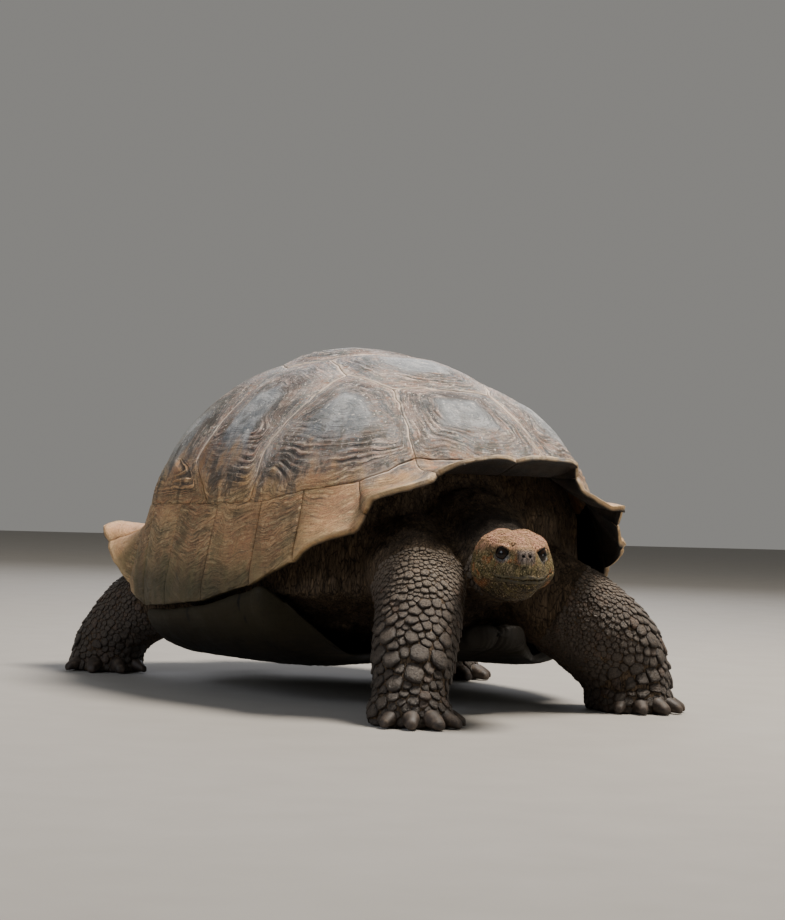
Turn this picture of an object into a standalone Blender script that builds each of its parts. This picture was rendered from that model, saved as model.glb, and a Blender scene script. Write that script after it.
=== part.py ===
"""A life-size giant tortoise, walking, with a domed shell.

The animal faces -Y, its left side is +X and it stands on z = 0. The shell is a set of horny plates on
one dome: five vertebral plates along the back, four costal plates on each side and a ring of marginal
plates whose outer rim flares over the neck and the legs. The body inside is solid.
"""
import math

import bmesh
import bpy
import numpy as np

# Dome of the upper shell, about its own centre.
DOME_CENTRE = np.array((0.0, 0.03, 0.20))
DOME_HALF_WIDTH = 0.405
DOME_HEIGHT = 0.460
DOME_FRONT = 0.570
DOME_REAR = 0.475
FRONT_SQUARENESS = 2.8
REAR_SQUARENESS = 2.0

# Plates of the shell.
PLATE_THICKNESS = 0.012
SEAM_DEPTH = 0.004
PLATE_BULGE = 0.008
GAP = 0.0003
PLATE_GAP = 0.0006
VERTEBRAL_SEAM_Y = (-0.285, -0.075, 0.125, 0.300)
VERTEBRAL_SEAM_HALF_WIDTH = (0.105, 0.120, 0.120, 0.085)
LATERAL_CORNER_Y = (-0.190, 0.015, 0.215)
LATERAL_CORNER_HALF_WIDTH = (0.150, 0.165, 0.150)
COSTAL_FOOT = (1.0, 4.25, 5.25, 7.5, 10.5)
COSTAL_KNEES = ((0.300, -0.186, 0.440), (0.345, 0.022, 0.430), (0.320, 0.215, 0.430))
COSTAL_AREOLAS = ((0.234, -0.322, 0.495), (0.318, -0.080, 0.480),
                  (0.345, 0.135, 0.417), (0.215, 0.335, 0.453))

# Marginal plates, counted from the front along one side; the last width is half of the tail plate.
MARGINAL_WIDTH = (0.152, 0.105, 0.107, 0.092, 0.126, 0.135, 0.130, 0.120, 0.118, 0.112, 0.105, 0.055)
MARGINAL_TOP = (0.449, 0.449, 0.405, 0.385, 0.362, 0.356, 0.352, 0.348, 0.345, 0.342, 0.340, 0.338, 0.338)
RIM_REACH = (0.092, 0.083, 0.070, 0.043, 0.032, 0.037, 0.034, 0.020, 0.040, 0.112, 0.112, 0.084, 0.082)
RIM_HEIGHT = (0.458, 0.428, 0.350, 0.262, 0.214, 0.178, 0.162, 0.152, 0.186, 0.268, 0.300, 0.270, 0.245)
SCALLOP_REACH = (0.010, 0.034, 0.024, 0.006, 0.0, 0.0, 0.0, 0.004, 0.010, 0.036, 0.030, 0.012)
SCALLOP_LIFT = (0.016, 0.012, 0.004, 0.0, 0.0, 0.0, 0.0, 0.0, 0.010, 0.022, 0.010, -0.012)

# Steps of the rim at two seams, and how the left side differs from the right.
STEP_SEAMS = (1.0, 2.0)
STEP_RIGHT = (0.0, 0.020)
STEP_LEFT = (0.017, 0.026)
STEP_WIDTH = 0.07
STEP_SPREAD = 0.45
LEFT_STATIONS = (0.5, 1.0, 1.5, 2.0, 2.25, 2.5, 3.0)
LEFT_REACH = (0.0, 0.010, 0.004, 0.008, -0.004, -0.010, 0.0)
LEFT_LIFT = (0.0, 0.0, -0.022, -0.006, 0.0, 0.0, 0.0)
RIM_THICKNESS = 0.012
STEPS_PER_MARGINAL = 4
MARGINAL_TRIM = 0.003

# Lower shell: stations from front to rear with the half-width of its free edge and its height.
PLASTRON_Y = (-0.512, -0.482, -0.440, -0.385, -0.335, -0.305, -0.270, -0.160, -0.050,
              0.050, 0.125, 0.152, 0.180, 0.240, 0.320, 0.390, 0.430)
PLASTRON_HALF_WIDTH = (0.034, 0.058, 0.092, 0.146, 0.188, 0.0, 0.0, 0.0, 0.0,
                       0.0, 0.0, 0.0, 0.205, 0.190, 0.165, 0.120, 0.070)
PLASTRON_HEIGHT = (0.130, 0.112, 0.100, 0.086, 0.076, 0.071, 0.067, 0.062, 0.060,
                   0.059, 0.058, 0.058, 0.060, 0.064, 0.076, 0.092, 0.104)
PLASTRON_THICKNESS = (0.026, 0.042, 0.032, 0.022, 0.020, 0.020, 0.020, 0.020, 0.020,
                      0.020, 0.020, 0.020, 0.020, 0.020, 0.018, 0.016, 0.014)
PLASTRON_HOLLOW = 0.014
PLASTRON_STEPS = 5
BRIDGE_INNER_X = 0.240
BRIDGE_DROP = 0.006

# Body: centre lines with their half-widths across and along the animal's height.
TRUNK_DROP = 0.098
TRUNK_CLEARANCE = 0.0210
TRUNK_SQUARE = (0.385, 0.450, 0.430)
TRUNK_AROUND = 20
TRUNK_UP = 10
NECK = (((0.0, -0.280, 0.300), 0.125, 0.115), ((0.0, -0.400, 0.296), 0.118, 0.108),
        ((-0.008, -0.465, 0.286), 0.092, 0.088), ((-0.020, -0.525, 0.274), 0.070, 0.070),
        ((-0.036, -0.575, 0.266), 0.060, 0.060), ((-0.052, -0.615, 0.264), 0.050, 0.050))
FRONT_RIGHT_LEG = (((-0.100, -0.260, 0.285), 0.083, 0.083), ((-0.120, -0.360, 0.275), 0.088, 0.088),
                   ((-0.145, -0.450, 0.245), 0.086, 0.086), ((-0.172, -0.515, 0.195), 0.078, 0.080),
                   ((-0.202, -0.556, 0.140), 0.074, 0.077), ((-0.229, -0.594, 0.090), 0.069, 0.070),
                   ((-0.243, -0.613, 0.055), 0.063, 0.063), ((-0.250, -0.622, 0.025), 0.072, 0.070),
                   ((-0.250, -0.624, 0.0), 0.070, 0.068))
FRONT_LEFT_LEG = (((0.090, -0.270, 0.260), 0.085, 0.085), ((0.140, -0.350, 0.232), 0.090, 0.090),
                  ((0.198, -0.405, 0.190), 0.090, 0.092), ((0.252, -0.435, 0.150), 0.090, 0.092),
                  ((0.298, -0.450, 0.105), 0.090, 0.090), ((0.319, -0.460, 0.060), 0.082, 0.080),
                  ((0.321, -0.462, 0.028), 0.088, 0.082), ((0.321, -0.464, 0.0), 0.087, 0.080))
REAR_RIGHT_LEG = (((-0.150, 0.220, 0.205), 0.080, 0.080), ((-0.220, 0.320, 0.180), 0.080, 0.080),
                  ((-0.275, 0.390, 0.135), 0.078, 0.078), ((-0.306, 0.440, 0.085), 0.072, 0.070),
                  ((-0.318, 0.462, 0.040), 0.074, 0.074), ((-0.320, 0.468, 0.0), 0.078, 0.078))
REAR_LEFT_LEG = (((0.150, 0.270, 0.205), 0.080, 0.080), ((0.225, 0.272, 0.170), 0.078, 0.078),
                 ((0.290, 0.255, 0.125), 0.074, 0.074), ((0.330, 0.232, 0.080), 0.068, 0.068),
                 ((0.345, 0.222, 0.040), 0.070, 0.070), ((0.348, 0.218, 0.0), 0.074, 0.072))
TAIL = (((0.0, 0.390, 0.215), 0.058, 0.052), ((0.006, 0.455, 0.192), 0.048, 0.044),
        ((0.024, 0.500, 0.158), 0.036, 0.034), ((0.052, 0.514, 0.122), 0.026, 0.024),
        ((0.084, 0.508, 0.096), 0.017, 0.016), ((0.108, 0.494, 0.082), 0.009, 0.009))
LEG_SIDES = 16

# Claws: number on each foot, size, and stations along one claw with its fall, width and height.
FRONT_CLAWS = 5
REAR_CLAWS = 4
FRONT_SPREAD = math.radians(118.0)
REAR_SPREAD = math.radians(100.0)
CLAW_SIDES = 6
CLAW_LENGTH = 0.038
CLAW_HALF_WIDTH = 0.0150
CLAW_HEIGHT = 0.0150
CLAW_ROOT = 0.93
CLAW_TAPER = 0.18
CLAW_STATIONS = ((-0.7, 0.0, 0.96, 0.90), (0.2, 0.0, 1.0, 0.88),
                 (0.7, 0.004, 0.84, 0.66), (1.0, 0.009, 0.50, 0.34))

# Head: stations from the back of the skull to the snout with half-width, height above and depth below.
HEAD_TIP = np.array((-0.107, -0.745, 0.266))
HEAD_YAW = math.radians(22.0)
HEAD_LENGTH = 0.190
HEAD_STATIONS = ((0.000, 0.050, 0.046, 0.045), (0.025, 0.061, 0.057, 0.054), (0.055, 0.069, 0.064, 0.060),
                 (0.085, 0.070, 0.067, 0.062), (0.110, 0.060, 0.065, 0.061), (0.132, 0.0485, 0.059, 0.057),
                 (0.152, 0.0405, 0.051, 0.051), (0.170, 0.0315, 0.044, 0.045), (0.183, 0.0235, 0.036, 0.034),
                 (0.190, 0.0125, 0.022, 0.020))
HEAD_SIDES = 18
EYE_RADIUS = 0.0165
EYE_FROM_TIP = 0.0510
EYE_SIDE = 0.0275
EYE_HEIGHT = 0.0245
MOUTH_HEIGHT = -0.017
MOUTH_SLOPE = math.radians(9.0)
MOUTH_LENGTH = 0.092
MOUTH_GAP = 0.0012

COLOURS = {
    "costal": (0.20, 0.17, 0.15), "marginal": (0.26, 0.17, 0.11), "plastron": (0.12, 0.09, 0.06),
    "skin": (0.10, 0.075, 0.06), "head": (0.30, 0.20, 0.12), "eye": (0.015, 0.012, 0.010),
}


def clear_scene():
    for item in list(bpy.data.objects):
        bpy.data.objects.remove(item, do_unlink=True)


def make_material(name, colour, roughness):
    material = bpy.data.materials.new(name)
    material.use_nodes = True
    shader = material.node_tree.nodes["Principled BSDF"]
    shader.inputs["Base Color"].default_value = (*colour, 1.0)
    shader.inputs["Roughness"].default_value = roughness
    shader.inputs["Metallic"].default_value = 0.0
    return material


def make_object(name, points, faces, colour, roughness=0.7):
    """Turn points and faces into one closed object whose faces point out."""
    mesh = bpy.data.meshes.new(name)
    mesh.from_pydata([tuple(point) for point in points], [], faces)
    shape = bmesh.new()
    shape.from_mesh(mesh)
    bmesh.ops.triangulate(shape, faces=shape.faces, quad_method="FIXED", ngon_method="EAR_CLIP")
    bmesh.ops.recalc_face_normals(shape, faces=shape.faces)
    shape.to_mesh(mesh)
    shape.free()
    mesh.materials.append(make_material(name, COLOURS[colour], roughness))
    thing = bpy.data.objects.new(name, mesh)
    bpy.context.collection.objects.link(thing)
    return thing


def combine(thing, other, operation):
    """Apply an exact Boolean of another object and remove that object."""
    modifier = thing.modifiers.new(operation, "BOOLEAN")
    modifier.operation = operation
    modifier.solver = "EXACT"
    modifier.object = other
    graph = bpy.context.evaluated_depsgraph_get()
    mesh = bpy.data.meshes.new_from_object(thing.evaluated_get(graph))
    thing.modifiers.clear()
    thing.data = mesh
    bpy.data.objects.remove(other, do_unlink=True)


# ---- The dome ----

def dome_size(offset):
    """How far out a point lies from the dome's centre, where 1 is on the dome."""
    reach = DOME_FRONT if offset[1] < 0 else DOME_REAR
    power = FRONT_SQUARENESS if offset[1] < 0 else REAR_SQUARENESS
    plan = (abs(offset[0]) / DOME_HALF_WIDTH) ** power + (abs(offset[1]) / reach) ** power
    return math.sqrt(plan ** (2.0 / power) + (offset[2] / DOME_HEIGHT) ** 2)


def on_dome(point, lift=0.0):
    """Push a point along its radius on to the dome, and then out by lift."""
    offset = np.asarray(point, dtype=float) - DOME_CENTRE
    return DOME_CENTRE + offset / dome_size(offset) + offset / np.linalg.norm(offset) * lift


def dome_above(x, y):
    """The point of the dome above a place in plan."""
    flat = dome_size(np.array((x, y - DOME_CENTRE[1], 0.0)))
    return np.array((x, y, DOME_CENTRE[2] + DOME_HEIGHT * math.sqrt(max(0.0, 1.0 - flat * flat))))


def plan_point(angle, scale):
    """A point of the dome's outline in plan, by its angle from the front, on the animal's left."""
    front = math.cos(angle) > 0
    reach = DOME_FRONT if front else DOME_REAR
    power = 2.0 / (FRONT_SQUARENESS if front else REAR_SQUARENESS)
    x = DOME_HALF_WIDTH * scale * abs(math.sin(angle)) ** power
    y = reach * scale * abs(math.cos(angle)) ** power
    return x, DOME_CENTRE[1] + (-y if front else y)


def outline_angles():
    """Angles of the outline and the share of its length that each has reached."""
    angles = np.linspace(0.0, math.pi, 721)
    points = np.array([plan_point(angle, 1.0) for angle in angles])
    lengths = np.concatenate(([0.0], np.cumsum(np.linalg.norm(np.diff(points, axis=0), axis=1))))
    return angles, lengths / lengths[-1]


OUTLINE = outline_angles()
SEAM_STATIONS = tuple(range(12)) + (11.5,)
SEAM_SHARES = np.concatenate(([0.0], np.cumsum(MARGINAL_WIDTH))) / sum(MARGINAL_WIDTH)


def signed(station):
    """Fold a station past the tail plate's middle back on to the other side."""
    side = 1.0
    if station < 0.0:
        station, side = -station, -1.0
    if station > 11.5:
        station, side = 23.0 - station, -side
    return station, side


def marginal_top(station):
    """The seam between the dome's plates and the marginal plates, on the dome."""
    station, side = signed(station)
    share = np.interp(station, SEAM_STATIONS, SEAM_SHARES)
    angle = np.interp(share, OUTLINE[1], OUTLINE[0])
    height = np.interp(station, SEAM_STATIONS, MARGINAL_TOP)
    scale = math.sqrt(1.0 - ((height - DOME_CENTRE[2]) / DOME_HEIGHT) ** 2)
    x, y = plan_point(angle, scale)
    return np.array((side * x, y, height))


def rim_point(station):
    """The outer rim of the marginal plates, flared and scalloped."""
    folded, side = signed(station)
    top = marginal_top(folded)
    ahead = marginal_top(min(folded + 0.3, 11.5)) - marginal_top(max(folded - 0.3, 0.0))
    outward = np.array((ahead[1], -ahead[0]))
    if outward @ (top[:2] - DOME_CENTRE[:2]) < 0.0:
        outward = -outward
    outward /= np.linalg.norm(outward)
    if folded < 0.02 or folded > 11.48:
        outward = np.array((0.0, -1.0 if folded < 1.0 else 1.0))
    plate = min(int(folded), 11)
    share = (folded - plate) if plate < 11 else (folded - 11.0)
    wave = 1.0 - abs(2.0 * share - 1.0) ** 2.5
    reach = np.interp(folded, SEAM_STATIONS, RIM_REACH) + SCALLOP_REACH[plate] * wave
    height = np.interp(folded, SEAM_STATIONS, RIM_HEIGHT) + SCALLOP_LIFT[plate] * wave
    for seam, step in zip(STEP_SEAMS, STEP_LEFT if side > 0.0 else STEP_RIGHT):
        fade = math.exp(-((folded - seam) / STEP_SPREAD) ** 2)
        height += step * np.clip((seam - folded) / STEP_WIDTH, -1.0, 1.0) * fade
    if side > 0.0 and folded < 3.0:
        reach += np.interp(folded, LEFT_STATIONS, LEFT_REACH)
        height += np.interp(folded, LEFT_STATIONS, LEFT_LIFT)
    return np.array((side * (top[0] + outward[0] * reach), top[1] + outward[1] * reach, height))


# ---- Plates of the dome ----

def path_on_dome(corners, steps):
    """Points on the dome along straight stretches between corners, without the last corner."""
    points = []
    for start, end, count in zip(corners, corners[1:], steps):
        points += [on_dome(start + (end - start) * i / count) for i in range(count)]
    return points


def marginal_path(start, end):
    """The points of the marginal seam between two stations, without the last one."""
    count = round(abs(end - start) * STEPS_PER_MARGINAL)
    return [marginal_top(start + (end - start) * i / count) for i in range(count)]


def dome_plate(name, outline, areola):
    """A plate that rises from its outline to its areola, with an inner face parallel to the outer."""
    areola = on_dome(areola)
    shrunk = []
    for point in outline:
        inward = areola - point
        shrunk.append(point + inward / np.linalg.norm(inward) * PLATE_GAP)
    count = len(shrunk)
    points = [on_dome(areola, PLATE_BULGE)]
    for share in (0.35, 0.72, 1.0):
        lift = -SEAM_DEPTH + (PLATE_BULGE + SEAM_DEPTH) * (1.0 - share ** 2)
        points += [on_dome(areola + (point - areola) * share, lift) for point in shrunk]
    for share in (1.0, 0.5):
        points += [on_dome(areola + (point - areola) * share, -PLATE_THICKNESS) for point in shrunk]
    points.append(on_dome(areola, -PLATE_THICKNESS))
    faces = [(0, 1 + i, 1 + (i + 1) % count) for i in range(count)]
    for ring in range(4):
        first = 1 + ring * count
        for i in range(count):
            j = (i + 1) % count
            faces.append((first + i, first + j, first + count + j, first + count + i))
    last = 1 + 4 * count
    faces += [(last + i, last + (i + 1) % count, len(points) - 1) for i in range(count)]
    make_object(name, points, faces, "costal")


def seam_corners():
    """Corners where vertebral and costal plates meet, on the animal's left."""
    seam_ends = [dome_above(x, y) for x, y in zip(VERTEBRAL_SEAM_HALF_WIDTH, VERTEBRAL_SEAM_Y)]
    laterals = [dome_above(x, y) for x, y in zip(LATERAL_CORNER_HALF_WIDTH, LATERAL_CORNER_Y)]
    return seam_ends, laterals


def flip(points, side):
    return [point * np.array((side, 1.0, 1.0)) for point in points]


def side_seams():
    """Every seam on the animal's left as a list of points, keyed by the plates on it."""
    ends, laterals = seam_corners()
    foot = [marginal_top(station) for station in COSTAL_FOOT]
    seams = {"v1c1": path_on_dome([foot[0], ends[0]], [3]), "v5c4": path_on_dome([ends[3], foot[4]], [4])}
    for i in range(3):
        seams[f"v{i + 2}c{i + 1}"] = path_on_dome([ends[i], laterals[i]], [3])
        seams[f"v{i + 2}c{i + 2}"] = path_on_dome([laterals[i], ends[i + 1]], [3])
        knee = on_dome(COSTAL_KNEES[i])
        seams[f"c{i + 1}c{i + 2}"] = path_on_dome([laterals[i], knee, foot[i + 1]], [4, 2])
    for i in range(4):
        seams[f"c{i + 1}m"] = marginal_path(COSTAL_FOOT[i + 1], COSTAL_FOOT[i])
    return seams, ends, laterals, foot


def backwards(points, last):
    """The same seam walked the other way, without its new last point."""
    return [last] + points[:0:-1]


def build_costals():
    seams, ends, laterals, foot = side_seams()
    for side, label in ((1.0, "left"), (-1.0, "right")):
        for i in range(4):
            if i == 0:
                outline = list(seams["v1c1"])
            else:
                outline = backwards(seams[f"c{i}c{i + 1}"], foot[i]) + list(seams[f"v{i + 1}c{i + 1}"])
            if i < 3:
                outline += seams[f"v{i + 2}c{i + 1}"] + seams[f"c{i + 1}c{i + 2}"]
            else:
                outline += seams["v5c4"]
            outline += seams[f"c{i + 1}m"]
            areola = on_dome(COSTAL_AREOLAS[i])
            dome_plate(f"costal_{label}_{i + 1}", flip(outline, side), flip([areola], side)[0])


def build_vertebrals():
    seams, ends, laterals, foot = side_seams()
    mirror = np.array((-1.0, 1.0, 1.0))
    for i in range(5):
        if i == 0:
            left = seams["v1c1"] + [ends[0]]
        elif i == 4:
            left = seams["v5c4"] + [foot[4]]
        else:
            left = seams[f"v{i + 1}c{i}"] + seams[f"v{i + 1}c{i + 1}"] + [ends[i]]
        right = [point * mirror for point in left[::-1]]
        rear = path_on_dome([left[-1], left[-1] * mirror], [4])[1:]
        front = path_on_dome([left[0] * mirror, left[0]], [4])[1:]
        if i == 0:
            front = marginal_path(-COSTAL_FOOT[0], COSTAL_FOOT[0])[1:]
        if i == 4:
            rear = marginal_path(COSTAL_FOOT[4], 23.0 - COSTAL_FOOT[4])[1:]
        outline = left + rear + right + front
        middle = (left[0] + left[-1]) * 0.5
        dome_plate(f"vertebral_{i + 1}", outline, np.array((0.0, middle[1], middle[2])))


# ---- Marginal plates ----

def marginal_section(station):
    """The outline of a marginal plate's cross-section at one station, from its seam round its rim."""
    top = on_dome(marginal_top(station), -SEAM_DEPTH)
    inner_top = on_dome(marginal_top(station), -PLATE_THICKNESS)
    rim = rim_point(station)
    below = on_dome(marginal_top(station) - np.array((0.0, 0.0, 0.03)), -SEAM_DEPTH)
    slope = (below - top) / np.linalg.norm(below - top)
    reach = np.linalg.norm(rim - top)
    control = top + slope * reach * 0.42
    inward = np.cross(slope, rim_point(station + 0.05) - rim_point(station - 0.05))
    inward /= np.linalg.norm(inward)
    if inward @ (DOME_CENTRE - top) < 0.0:
        inward = -inward
    down = rim - control
    down /= np.linalg.norm(down)
    rim_inward = np.cross(down, rim_point(station + 0.05) - rim_point(station - 0.05))
    rim_inward /= np.linalg.norm(rim_inward)
    if rim_inward[2] > 0.0 and abs(rim_inward[2]) > 0.3:
        rim_inward = -rim_inward
    elif abs(rim_inward[2]) <= 0.3 and rim_inward @ (DOME_CENTRE - rim) < 0.0:
        rim_inward = -rim_inward

    def outer(share):
        return top * (1 - share) ** 2 + control * 2 * share * (1 - share) + rim * share ** 2

    def inner(share):
        depth = PLATE_THICKNESS * (1 - share) + RIM_THICKNESS * share
        blend = inward * (1 - share) + rim_inward * share
        return outer(share) + blend / np.linalg.norm(blend) * depth * 1.1

    seam_gap = slope * GAP
    section = [top + seam_gap] + [outer(share) for share in (0.3, 0.62, 0.88)]
    section += [rim + rim_inward * RIM_THICKNESS * 0.35, inner(0.9), inner(0.45), inner_top + seam_gap]
    return section


MARGINAL_CAP = ((0, 1, 7), (1, 6, 7), (1, 2, 6), (2, 3, 6), (3, 5, 6), (3, 4, 5))


def build_marginals():
    plates = [(f"marginal_left_{i + 1}", i, i + 1) for i in range(11)]
    plates += [(f"marginal_right_{i + 1}", -i, -i - 1) for i in range(11)]
    plates.append(("marginal_tail", 11, 12))
    for name, start, end in plates:
        direction = 1.0 if end > start else -1.0
        trim = MARGINAL_TRIM * direction
        points = []
        for step in range(STEPS_PER_MARGINAL + 1):
            station = start + (end - start) * step / STEPS_PER_MARGINAL
            if step == 0:
                station += trim
            if step == STEPS_PER_MARGINAL:
                station -= trim
            points += marginal_section(station)
        size = len(points) // (STEPS_PER_MARGINAL + 1)
        far = len(points) - size
        faces = [tuple(first + i for i in face) for first in (0, far) for face in MARGINAL_CAP]
        for step in range(STEPS_PER_MARGINAL):
            for i in range(size):
                j = (i + 1) % size
                first = step * size
                faces.append((first + i, first + j, first + size + j, first + size + i))
        make_object(name, points, faces, "marginal")


# ---- Lower shell ----

def plastron_section(index, grow):
    """Half of the lower shell's cross-section, from its middle to its edge, as outer and inner points."""
    y = PLASTRON_Y[index]
    height = PLASTRON_HEIGHT[index]
    thickness = PLASTRON_THICKNESS[index]
    bridged = PLASTRON_HALF_WIDTH[index] == 0.0
    half = BRIDGE_INNER_X if bridged else PLASTRON_HALF_WIDTH[index]
    outer, inner = [], []
    for step in range(PLASTRON_STEPS):
        x = half * step / (PLASTRON_STEPS - 1)
        hollow = PLASTRON_HOLLOW * max(0.0, 1.0 - (x / 0.19) ** 2) * max(0.0, 1.0 - (y / 0.42) ** 2)
        outer.append(np.array((x, y, height + hollow - grow)))
        inner.append(np.array((x, y, height + hollow + thickness + grow)))
    if bridged:
        station = np.interp(y, BRIDGE_STATION_Y, BRIDGE_STATIONS)
        rim = rim_point(station) - np.array((0.004, 0.0, BRIDGE_DROP))
        reach, rise = rim[0] - half, rim[2] - height
        for angle in np.radians((30.0, 60.0, 90.0)):
            x, z = half + reach * math.sin(angle), height + rise * (1.0 - math.cos(angle))
            outer.append(np.array((x + grow * math.sin(angle), y, z - grow * math.cos(angle))))
            inward = thickness + grow
            inner.append(np.array((x - inward * math.sin(angle), y, z + inward * math.cos(angle))))
    else:
        curl = (0.002, 0.005, 0.009)
        for step in range(3):
            x = half * (1.0 + 0.018 * (step + 1))
            outer.append(np.array((x + grow, y, height + curl[step] - grow)))
            inner.append(np.array((x + grow, y, height + thickness - curl[2 - step] * 0.4 + grow)))
    return outer, inner


BRIDGE_STATIONS = np.linspace(3.5, 8.5, 26)
BRIDGE_STATION_Y = [rim_point(station)[1] for station in BRIDGE_STATIONS]


def plastron_shape(grow):
    """Points and faces of the lower shell, whole, grown by a small distance where it is a cutter."""
    points, faces = [], []
    for index in range(len(PLASTRON_Y)):
        outer, inner = plastron_section(index, grow)
        mirror = np.array((-1.0, 1.0, 1.0))
        points += [point * mirror for point in outer[:0:-1]] + outer
        points += inner[::-1] + [point * mirror for point in inner[1:]]
    size = len(points) // len(PLASTRON_Y)
    faces += [tuple(range(size)), tuple(range(len(points) - size, len(points)))]
    for index in range(len(PLASTRON_Y) - 1):
        for i in range(size):
            j = (i + 1) % size
            first = index * size
            faces.append((first + i, first + j, first + size + j, first + size + i))
    return points, faces


# ---- Body ----

def trunk_shape(grow):
    """The body inside the shell: the dome less its plates, closed in front and below."""
    def reach(direction):
        front = direction[1] < 0.0
        power = FRONT_SQUARENESS if front else REAR_SQUARENESS
        length = DOME_FRONT if front else DOME_REAR
        plan = (abs(direction[0]) / DOME_HALF_WIDTH) ** power + (abs(direction[1]) / length) ** power
        drop = DOME_HEIGHT if direction[2] > 0.0 else TRUNK_DROP + TRUNK_CLEARANCE
        span = 1.0 / math.sqrt(plan ** (2.0 / power) + (direction[2] / drop) ** 2) - TRUNK_CLEARANCE
        if front:
            cube = sum((abs(part) / size) ** 3 for part, size in zip(direction, TRUNK_SQUARE))
            span = min(span, cube ** (-1.0 / 3.0))
        return span + grow

    around, up = TRUNK_AROUND, TRUNK_UP
    points, faces = [], []
    for i in range(1, up):
        tilt = math.pi * i / up
        for j in range(around):
            turn = 2.0 * math.pi * j / around
            direction = np.array((math.sin(tilt) * math.sin(turn), -math.sin(tilt) * math.cos(turn),
                                  math.cos(tilt)))
            points.append(DOME_CENTRE + direction * reach(direction))
    for pole in (1.0, -1.0):
        direction = np.array((0.0, 0.0, pole))
        points.append(DOME_CENTRE + direction * reach(direction))
    for i in range(up - 2):
        for j in range(around):
            k = (j + 1) % around
            first = i * around
            faces.append((first + j, first + k, first + around + k, first + around + j))
    last = (up - 2) * around
    for j in range(around):
        k = (j + 1) % around
        faces.append((j, k, len(points) - 2))
        faces.append((last + j, last + k, len(points) - 1))
    return points, faces


def tube_shape(stations, sides, grow=0.0, flat_end=False):
    """A limb along its centre line; each station has a place, a half-width and a half-height."""
    places = [np.array(station[0]) for station in stations]
    points, faces = [], []
    across = None
    for i, (place, wide, high) in enumerate(stations):
        ahead = places[min(i + 1, len(places) - 1)] - places[max(i - 1, 0)]
        if flat_end and i >= len(places) - 2:
            ahead = np.array((0.0, 0.0, -1.0))
        ahead = ahead / np.linalg.norm(ahead)
        across = np.cross(ahead, (0.0, 0.0, 1.0)) if across is None else across - ahead * (across @ ahead)
        across /= np.linalg.norm(across)
        upward = np.cross(across, ahead)
        for side in range(sides):
            angle = 2.0 * math.pi * side / sides
            points.append(np.array(place) + across * math.cos(angle) * (wide + grow)
                          + upward * math.sin(angle) * (high + grow))
    for i in range(len(places) - 1):
        for j in range(sides):
            k = (j + 1) % sides
            first = i * sides
            faces.append((first + j, first + k, first + sides + k, first + sides + j))
    faces += [tuple(range(sides)), tuple(range(len(points) - sides, len(points)))]
    return points, faces


def make_shape(name, shape, colour="skin"):
    return make_object(name, shape[0], shape[1], colour)


def claw_shape(place, heading, size):
    """One blunt claw that grows forward and down from a place on the foot."""
    forward = np.array((math.sin(heading), -math.cos(heading), 0.0))
    down = np.array((0.0, 0.0, -1.0))
    half = CLAW_HALF_WIDTH * size
    across = np.array((forward[1], -forward[0], 0.0))
    points, faces = [], []
    for along, fall, wide, high in CLAW_STATIONS:
        centre = place + forward * CLAW_LENGTH * size * along + down * fall
        for i in range(CLAW_SIDES):
            angle = 2.0 * math.pi * i / CLAW_SIDES
            points.append(centre + across * math.cos(angle) * half * wide
                          - down * math.sin(angle) * half * high)
    for ring in range(len(CLAW_STATIONS) - 1):
        for i in range(CLAW_SIDES):
            j = (i + 1) % CLAW_SIDES
            first = ring * CLAW_SIDES
            faces.append((first + i, first + j, first + CLAW_SIDES + j, first + CLAW_SIDES + i))
    faces += [tuple(range(CLAW_SIDES)), tuple(range(len(points) - CLAW_SIDES, len(points)))]
    return points, faces


def build_leg(name, stations, heading, claws, spread):
    """A leg with its claws, cut clear of the trunk, the neck and the lower shell."""
    leg = make_shape(name, tube_shape(stations, LEG_SIDES, flat_end=True))
    foot, wide, deep = stations[-1]
    for i in range(claws):
        turn = heading + spread * (i / (claws - 1) - 0.5)
        reach = min(wide, deep) * CLAW_ROOT
        place = np.array((foot[0] + math.sin(turn) * reach, foot[1] - math.cos(turn) * reach, CLAW_HEIGHT))
        size = 1.0 - CLAW_TAPER * abs(2.0 * i / (claws - 1) - 1.0)
        combine(leg, make_shape("claw", claw_shape(place, turn, size)), "UNION")
    combine(leg, make_shape("trunk_cutter", trunk_shape(GAP)), "DIFFERENCE")
    if stations[0][0][1] < 0.0:
        combine(leg, make_shape("neck_cutter", tube_shape(NECK, LEG_SIDES, GAP)), "DIFFERENCE")
    combine(leg, make_shape("plastron_cutter", plastron_shape(GAP)), "DIFFERENCE")
    return leg


def head_frame():
    ahead = np.array((-math.sin(HEAD_YAW), -math.cos(HEAD_YAW), 0.0))
    across = np.array((math.cos(HEAD_YAW), -math.sin(HEAD_YAW), 0.0))
    return ahead, across


def head_shape(grow):
    ahead, across = head_frame()
    back = HEAD_TIP - ahead * HEAD_LENGTH
    points, faces = [], []
    for along, wide, above, below in HEAD_STATIONS:
        along -= grow if along == 0.0 else 0.0
        for i in range(HEAD_SIDES):
            angle = 2.0 * math.pi * i / HEAD_SIDES
            x = math.copysign(abs(math.cos(angle)) ** 0.86, math.cos(angle)) * (wide + grow)
            z = math.copysign(abs(math.sin(angle)) ** 0.86, math.sin(angle))
            z *= (above if z > 0.0 else below) + grow
            points.append(back + ahead * along + across * x + np.array((0.0, 0.0, z)))
    for ring in range(len(HEAD_STATIONS) - 1):
        for i in range(HEAD_SIDES):
            j = (i + 1) % HEAD_SIDES
            first = ring * HEAD_SIDES
            faces.append((first + i, first + j, first + HEAD_SIDES + j, first + HEAD_SIDES + i))
    faces += [tuple(range(HEAD_SIDES)), tuple(range(len(points) - HEAD_SIDES, len(points)))]
    return points, faces


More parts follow.
